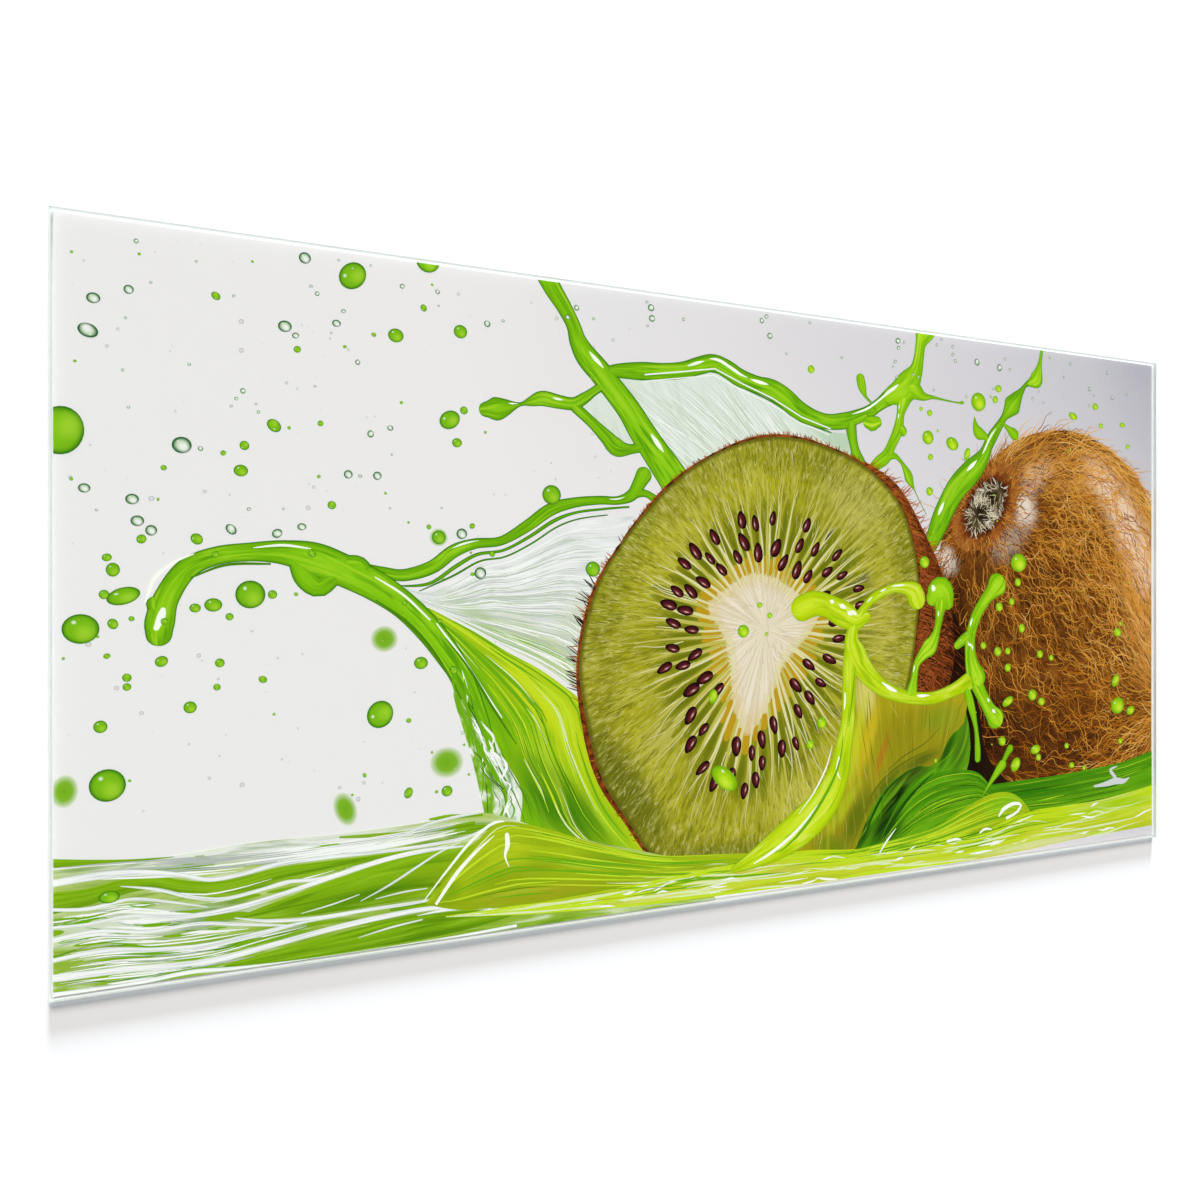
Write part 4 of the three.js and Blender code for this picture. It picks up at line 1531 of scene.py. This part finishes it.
# %% Crown
sweep = [(113, -40, 14), (111, -56, 15), (110, -84, 14), (109, -108, 15), (104, -131, 18), (99, -152, 23),
         (87, -174, 29), (69, -190, 33), (46, -204, 30), (20, -216, 20), (-6, -225, 7)]
crown_lime = [
    [(61, -6, 23), (73, -2, 23), (87, -4, 21), (103, -11, 24), (117, -17, 19), (128, -14, 11)],
    [(122, -14, 12), (129, -4, 8), (139, 4, 9), (156, 11, 8), (172, 12, 12), (183, 8, 20), (186, 2, 20)],
    [(116, -20, 10), (113, -34, 15), (117, -46, 22), (127, -62, 20), (144, -77, 16), (165, -86, 13),
     (187, -90, 12), (208, -90, 12), (230, -84, 13), (247, -77, 17)],
    sweep,
]
crown_green = [
    [(205, 3, 16), (209, 8, 24), (215, 9, 28), (220, 5, 22), (222, -1, 15)],
    [(214, -4, 15), (213, -12, 10), (210, -26, 8), (206, -36, 12), (201, -43, 17), (194, -49, 12),
     (186, -58, 8), (183, -71, 8), (180, -84, 13)],
    [(257, -73, 23), (251, -57, 15), (250, -36, 12), (256, -17, 12), (266, -2, 12), (276, 8, 15),
     (283, 15, 23)],
    [(252, -30, 9), (246, -34, 10), (240, -38, 10), (234, -42, 8)],
    [(256, -76, 16), (264, -90, 14), (274, -105, 15), (281, -113, 21)],
    [(246, -86, 9), (251, -100, 9), (257, -122, 5), (259, -142, 7), (259, -151, 7)],
    [(264, -188, 1.5), (276, -174, 5), (286, -163, 9), (290, -159, 10)],
    [(290, -158, 5), (296, -149, 6), (300, -144, 8)],
]
strokes("crown_lime", "crown", crown_lime, lime_juice)
strokes("crown_green", "crown", crown_green, spring_juice)
glints("crown_glints", "crown_glint", crown_lime[:3] * 2 + crown_green[:5], seed=23, share=(0.05, 0.14),
       thick=0.2)
shine = [[(80, -176, 0.8), (58, -197, 2.4), (34, -213, 2.8), (14, -222, 1.0)],
         [(98, -146, 0.6), (100, -138, 2.2), (97, -150, 2.0), (101, -158, 0.6)],
         [(106, -82, 1.4), (106, -90, 1.6), (105, -96, 0.8)],
         [(92, -128, 0.5), (86, -146, 1.4), (74, -166, 1.4), (58, -184, 0.5)]]
strokes("sweep_glints", "crown_glint", shine, white_glint)
print_threads("sweep_shade", "crown_glint", {"leaf": drawn(
    [(104, -120, 0.6), (99, -146, 2.2), (84, -172, 3.0), (60, -200, 2.6), (38, -216, 0.8)],
    [(117, -58, 0.6), (114, -84, 1.6), (110, -112, 0.6)],
)})

# %% [markdown]
# ## Drops
#
# Drops fly everywhere. Clear ones on the left have a dark rim, because a small ball of liquid
# bends light like a lens. Near drops of thick juice are yellow-green with a soft shaded side, and
# a few on the left are out of focus. One round model serves each kind, and the small ones are set
# at seeded places.

# %% Drop inks


def drop_ink(name, stops, low_glow=None, glint=True):
    """A round drop seen flat: rings of colour by the distance from its middle, and one glint."""
    made, tree = ink(name)
    own = where(tree, "UV")
    tone = ramp(tree, maths(tree, "MULTIPLY", vector(tree, "DISTANCE", own, MIDDLE), 2.0), stops)
    if low_glow:
        near = vector(tree, "DISTANCE", own, (0.62, 0.34, 0.0))
        tone = blend(tree, span(tree, near, 0.34, 0.08, 0.0, 0.8), tone, low_glow)
    if glint:
        near = vector(tree, "DISTANCE", own, (0.32, 0.72, 0.0))
        tone = blend(tree, span(tree, near, 0.08, 0.03, 0.0, 0.7), tone, "F4FBEA")
    dye(tree, tone)
    return made


green_drop = drop_ink(
    "drop_print_green", [(0.0, "84C41C"), (0.72, "78B818"), (0.86, "5FA012"), (0.94, "388014"),
                         (1.0, "2C6814")], low_glow="A2D232",
)
clear_drop = drop_ink(
    "drop_print_clear", [(0.0, "E6EEE2"), (0.45, "CFDDC6"), (0.68, "8FB088"), (0.82, "3A7040"),
                         (1.0, "2C6036")], low_glow="F4F6F2",
)
lime_drop = drop_ink("drop_print_lime", [(0.0, "B4DC1C"), (0.5, "A2D212"), (0.85, "80BA0E"), (1.0, "68A60E")],
                     low_glow="CDEB3C")
soft_drop = drop_ink("drop_print_out_of_focus", [(0.0, "74AE1C"), (0.55, "80B62C"), (0.8, "BAD09A"),
                                                 (1.0, "ECECE9")], glint=False)
grey_speck = drop_ink("speck_print_grey", [(0.0, "E2E3E1"), (0.6, "D4D6D3"), (0.85, "B5BAB6"),
                                           (1.0, "C4C8C4")], glint=False)

# %% Place the drops
dice = random.Random(77)


def sown(count, x_span, y_span, small, large):
    """Seeded places for nearly round things, many small and few large."""
    made = []
    for _ in range(count):
        size = small + (large - small) * dice.random() ** 3
        place = dice.uniform(*x_span), dice.uniform(*y_span)
        made.append((*place, dice.uniform(0, 3.1), size * (1 + 0.2 * dice.random()), size))
    return made


big_green = [
    (-316, 232, 0.9, 21, 17), (-286, 193, 0, 11, 10), (-239, 201, 0, 10, 10), (-247, 135, 0.6, 16, 13),
    (-494, 110, 1.4, 31, 26), (-389, 90, 0, 9, 8), (-368, 122, 2.4, 10, 8), (-168, 83, 0, 15, 15),
    (-255, 48, 0, 10, 10), (-134, 26, 0, 12, 12), (-383, 6, 0, 19, 19), (-483, -16, 0, 21, 19),
    (-459, 5, 0.3, 20, 11), (-268, -44, 0, 10, 9), (-297, -80, 1.1, 20, 18), (-468, -117, 0, 21, 21),
    (-420, -69, 0, 8, 8), (-472, -79, 0, 8, 8), (-249, -139, 0, 8, 8), (-263, 250, 0, 17, 17),
    (-277, -138, 1.2, 8, 6), (-402, -40, 0, 6, 6), (-437, -38, 0.5, 8, 7), (-244, -50, 0, 6, 6),
    (-406, -1, 0, 11, 9), (-417, -3, 0, 7, 6), (-465, 22, 0, 8, 9), (-396, -9, 0, 5, 5), (-369, 6, 0, 6, 6),
    (-416, 43, 0.8, 7, 8), (-470, 6, 0, 6, 6), (-465, -13, 0.5, 6, 7), (-467, -189, 0, 12, 8),
    (-457, -54, 0, 5, 5),
]
big_clear = [
    (-348, 240, 0, 8, 8), (-476, 196, 0, 8, 7), (-479, 175, 2.8, 12, 9), (-361, 191, 0, 9, 8),
    (-425, 105, 0, 12, 11), (-456, 204, 0, 6, 6), (-299, 91, 0, 6, 6), (-319, 91, 0, 6, 6),
    (-451, 54, 0, 8, 7), (-443, 48, 0, 7, 7), (-327, 197, 0, 6, 5), (-224, 22, 0, 9, 9), (-481, 74, 0, 7, 6),
    (-366, 48, 0.6, 7, 6), (-350, 53, 0, 6, 5), (-395, 50, 2.3, 8, 6), (-454, 68, 0, 8, 7),
    (-238, 51, 0, 8, 8),
]
scatter("green_drops", "drops", big_green + sown(60, (-495, -215), (-150, 240), 1.8, 7.0), green_drop)
small_clear = sown(36, (-490, -240), (60, 244), 1.6, 5.0)
small_clear += sown(16, (-240, 150), (205, 244), 2.2, 6.0) + sown(34, (150, 490), (186, 246), 2.4, 6.5)
scatter("clear_drops", "drops", big_clear + small_clear, clear_drop, columns=20)
scatter("grey_specks", "far_specks", sown(170, (-490, -100), (-140, 240), 0.8, 3.4), grey_speck, columns=12)
out_of_focus = [
    (-249, -118, 0, 26, 24), (-321, -146, 1.9, 26, 16), (-294, -26, 0, 20, 20), (-492, -119, 1.5, 22, 16),
    (-255, 48, 0, 14, 14),
]
scatter("soft_drops", "far_specks", out_of_focus, soft_drop, columns=28)
big_lime = [
    (260, 190, 0, 18, 18), (199, 152, 0, 13, 13), (228, 148, -0.4, 15, 12), (311, 37, 0, 20, 18),
    (195, 36, 0, 11, 11), (447, -109, 0.2, 19, 17), (329, -93, 0, 11, 11), (341, -100, 0, 9, 8),
    (310, 18, 0, 8, 8), (286, -6, 0, 9, 9), (302, -1, 0, 7, 7), (315, -27, 0, 8, 9), (266, -43, 0, 7, 7),
    (284, -49, 0, 9, 9), (297, -49, 0, 7, 7), (297, -65, 0, 8, 8), (339, -53, 0, 8, 8), (354, -57, 0, 6, 6),
    (447, -33, 0, 11, 9), (444, -83, 1.1, 14, 9), (466, -115, 0.4, 12, 9), (297, -98, 0.5, 15, 8),
    (290, -136, 0, 9, 9), (333, -147, 0.2, 13, 9), (337, -155, 0, 7, 7), (307, -160, 1.0, 15, 11),
    (375, -146, 0, 6, 6), (382, -166, 0, 7, 6), (399, -170, 0, 5, 5), (451, -146, 0, 6, 6),
    (451, -24, 0, 5, 4), (2, -25, 0, 11, 11), (18, -3, 0, 5, 5), (28, -12, 0, 5, 5), (25, -28, 0, 3.5, 3.5),
    (-27, -79, 1.4, 12, 8), (81, -107, 0, 10, 10), (69, -125, 0, 8, 8), (-16, -148, -0.7, 29, 16),
    (384, 186, -0.3, 12, 7), (415, 198, 0, 8, 7), (423, 179, 0, 6, 5), (454, 182, 0, 8, 5),
    (462, 160, 0, 6, 5), (281, 194, 0, 7, 7), (285, 205, 0, 8, 7), (201, 175, 0, 6, 6), (202, 134, 0, 6, 6),
    (201, 102, 0, 8, 8), (70, 203, 0, 7, 7), (246, 139, 1.3, 13, 7), (191, 178, 0, 4, 4),
]
scatter("lime_drops", "near_drops", big_lime + sown(26, (200, 490), (-165, 240), 1.6, 4.5), lime_drop)
print(len(printed), "printed pieces")

# %% [markdown]
# ## Glass
#
# The glass is the frame's own sheet. Ink behind it must keep its light, so the material lets rays
# straight through and adds only what a polished pane adds: a mirror that is weak from above and
# strong at a grazing view, as Fresnel's law says for an index of 1.5. The mirror is only on the
# outer side of each face. The ground and polished edge is frosted by its grinding, so it is nearly
# white and lets less through.

# %% Clear float glass
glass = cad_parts["glass_sheet"]
pane = bpy.data.materials.new("float_glass_polished")
pane.use_nodes = True
tree = pane.node_tree
tree.nodes.clear()
GLASS_INDEX = 1.5
geometry = add(tree, "NewGeometry")
slope = add(tree, "SeparateXYZ", {0: geometry.outputs["True Normal"]}).outputs[2]
is_edge = maths(tree, "LESS_THAN", maths(tree, "ABSOLUTE", slope), 0.95)
outer = maths(tree, "SUBTRACT", 1.0, geometry.outputs["Backfacing"])
mirror = maths(tree, "MULTIPLY", add(tree, "Fresnel", {"IOR": GLASS_INDEX}).outputs[0], outer)
through = add(tree, "BsdfTransparent", {"Color": colour("FFFFFF")})
gloss = add(tree, "BsdfGlossy", {"Color": colour("FFFFFF"), "Roughness": 0.03})
sheet = add(tree, "MixShader", {0: mirror, 1: through, 2: gloss})
dim_through = add(tree, "BsdfTransparent", {"Color": colour("F2F6F4")})
polish = add(tree, "BsdfPrincipled", {"Base Color": colour("E2E7E5"), "Roughness": 0.3, "IOR": GLASS_INDEX})
rim_glass = add(tree, "MixShader", {0: 0.95, 1: dim_through, 2: polish})
add(tree, "OutputMaterial", {"Surface": add(tree, "MixShader", {0: is_edge, 1: sheet, 2: rim_glass})})
glass.data.materials.clear()
glass.data.materials.append(pane)
for piece in printed:
    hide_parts("picture_layer")

# %% [markdown]
# ## Studio
#
# A white floor and a pale sky. Two suns light the floor alone: a low one that leaves a broad soft
# shadow along the panel's foot, and a higher one that leaves a thin dark line close to it. A third,
# broad and overhead, lights the panel alone, and the glass edge casts no bar on the print. Two low
# ones light the ground edge of the glass. Mirrored rays meet a dark ceiling and a bright horizon,
# so the glass stays clear from above and shines from the side. The camera sees the sky near white.

# %% Floor
bpy.ops.object.select_all(action="DESELECT")
bpy.ops.mesh.primitive_plane_add(size=12, location=(0, 0, 0))
floor = bpy.context.object
floor.name = "floor"
floor_paint = bpy.data.materials.new("floor_matt_white")
floor_paint.use_nodes = True
floor_surface = floor_paint.node_tree.nodes["Principled BSDF"]
floor_surface.inputs["Base Color"].default_value = colour("FBFBFB")
floor_surface.inputs["Roughness"].default_value = 0.9
floor_surface.inputs["Specular IOR Level"].default_value = 0.0
floor.data.materials.append(floor_paint)

# %% Sky and suns
scene = bpy.context.scene
scene.view_settings.view_transform = "Standard"
world = bpy.data.worlds.new("studio")
scene.world = world
world.use_nodes = True
tree = world.node_tree
upward = add(tree, "SeparateXYZ", {0: add(tree, "TexCoord").outputs["Generated"]}).outputs[2]
SOFT_LIGHT = 0.27  # what the sky gives to matt surfaces
ceiling = span(tree, upward, 0.2, 0.5, 0.5, 0.03)
kind = add(tree, "LightPath").outputs
strength = add(tree, "Mix", {0: kind["Is Glossy Ray"], 2: SOFT_LIGHT, 3: ceiling},
               data_type="FLOAT").outputs[0]
strength = add(tree, "Mix", {0: kind["Is Camera Ray"], 2: strength, 3: 0.9}, data_type="FLOAT").outputs[0]
sky = tree.nodes["Background"]
sky.inputs["Color"].default_value = (1.0, 1.0, 1.0, 1.0)
tree.links.new(strength, sky.inputs["Strength"])


def sun(name, azimuth, elevation, light, spread, lit, blockers=(), tint=(1.0, 1.0, 1.0)):
    """A sun that gives a level floor that much light.

    It lights only the objects in lit. Given blockers, only they cast its shadows.
    """
    bpy.ops.object.light_add(type="SUN")
    made = bpy.context.object
    made.name = name
    a, e = math.radians(azimuth), math.radians(elevation)
    towards = Vector((math.cos(a) * math.cos(e), math.sin(a) * math.cos(e), math.sin(e)))
    made.rotation_euler = towards.to_track_quat("Z", "Y").to_euler()
    made.data.energy = light * math.pi / math.sin(e)
    made.data.angle = math.radians(spread)
    made.data.color = tint
    made.visible_glossy = False
    only = bpy.data.collections.new(f"lit_by_{name}")
    for thing in lit:
        only.objects.link(thing)
    made.light_linking.receiver_collection = only
    if blockers:
        shading = bpy.data.collections.new(f"shading_{name}")
        for thing in blockers:
            shading.objects.link(thing)
        made.light_linking.blocker_collection = shading


sun("low_sun", 87, 9.5, 0.35, 10, [floor], tint=(0.86, 1.0, 1.1))
sun("high_sun", 90, 33, 0.48, 22, [floor], tint=(1.05, 1.0, 0.97))
sun("print_sun", 80, 78, 0.73, 50, [glass, *printed], [backing])
sun("edge_sun_right", 45, 15, 0.11, 20, [glass], [backing])
sun("edge_sun_left", 225, 15, 0.11, 20, [glass], [backing])

# %% Camera
CAMERA_PLACE = Vector((-0.368, 0.006, 0.621))
CAMERA_AIM = Vector((0.361, 0.0, -0.9325))
bpy.ops.object.camera_add(location=CAMERA_PLACE)
camera = bpy.context.object
backward = -CAMERA_AIM.normalized()
sideways = Vector((0, 1, 0)).cross(backward).normalized()
camera.matrix_world = (
    Matrix.Translation(CAMERA_PLACE) @ Matrix((sideways, backward.cross(sideways),
                                               backward)).transposed().to_4x4()
)
camera.data.sensor_width = 36
camera.data.lens = 25.26
camera.data.shift_y = -0.0046
scene.camera = camera
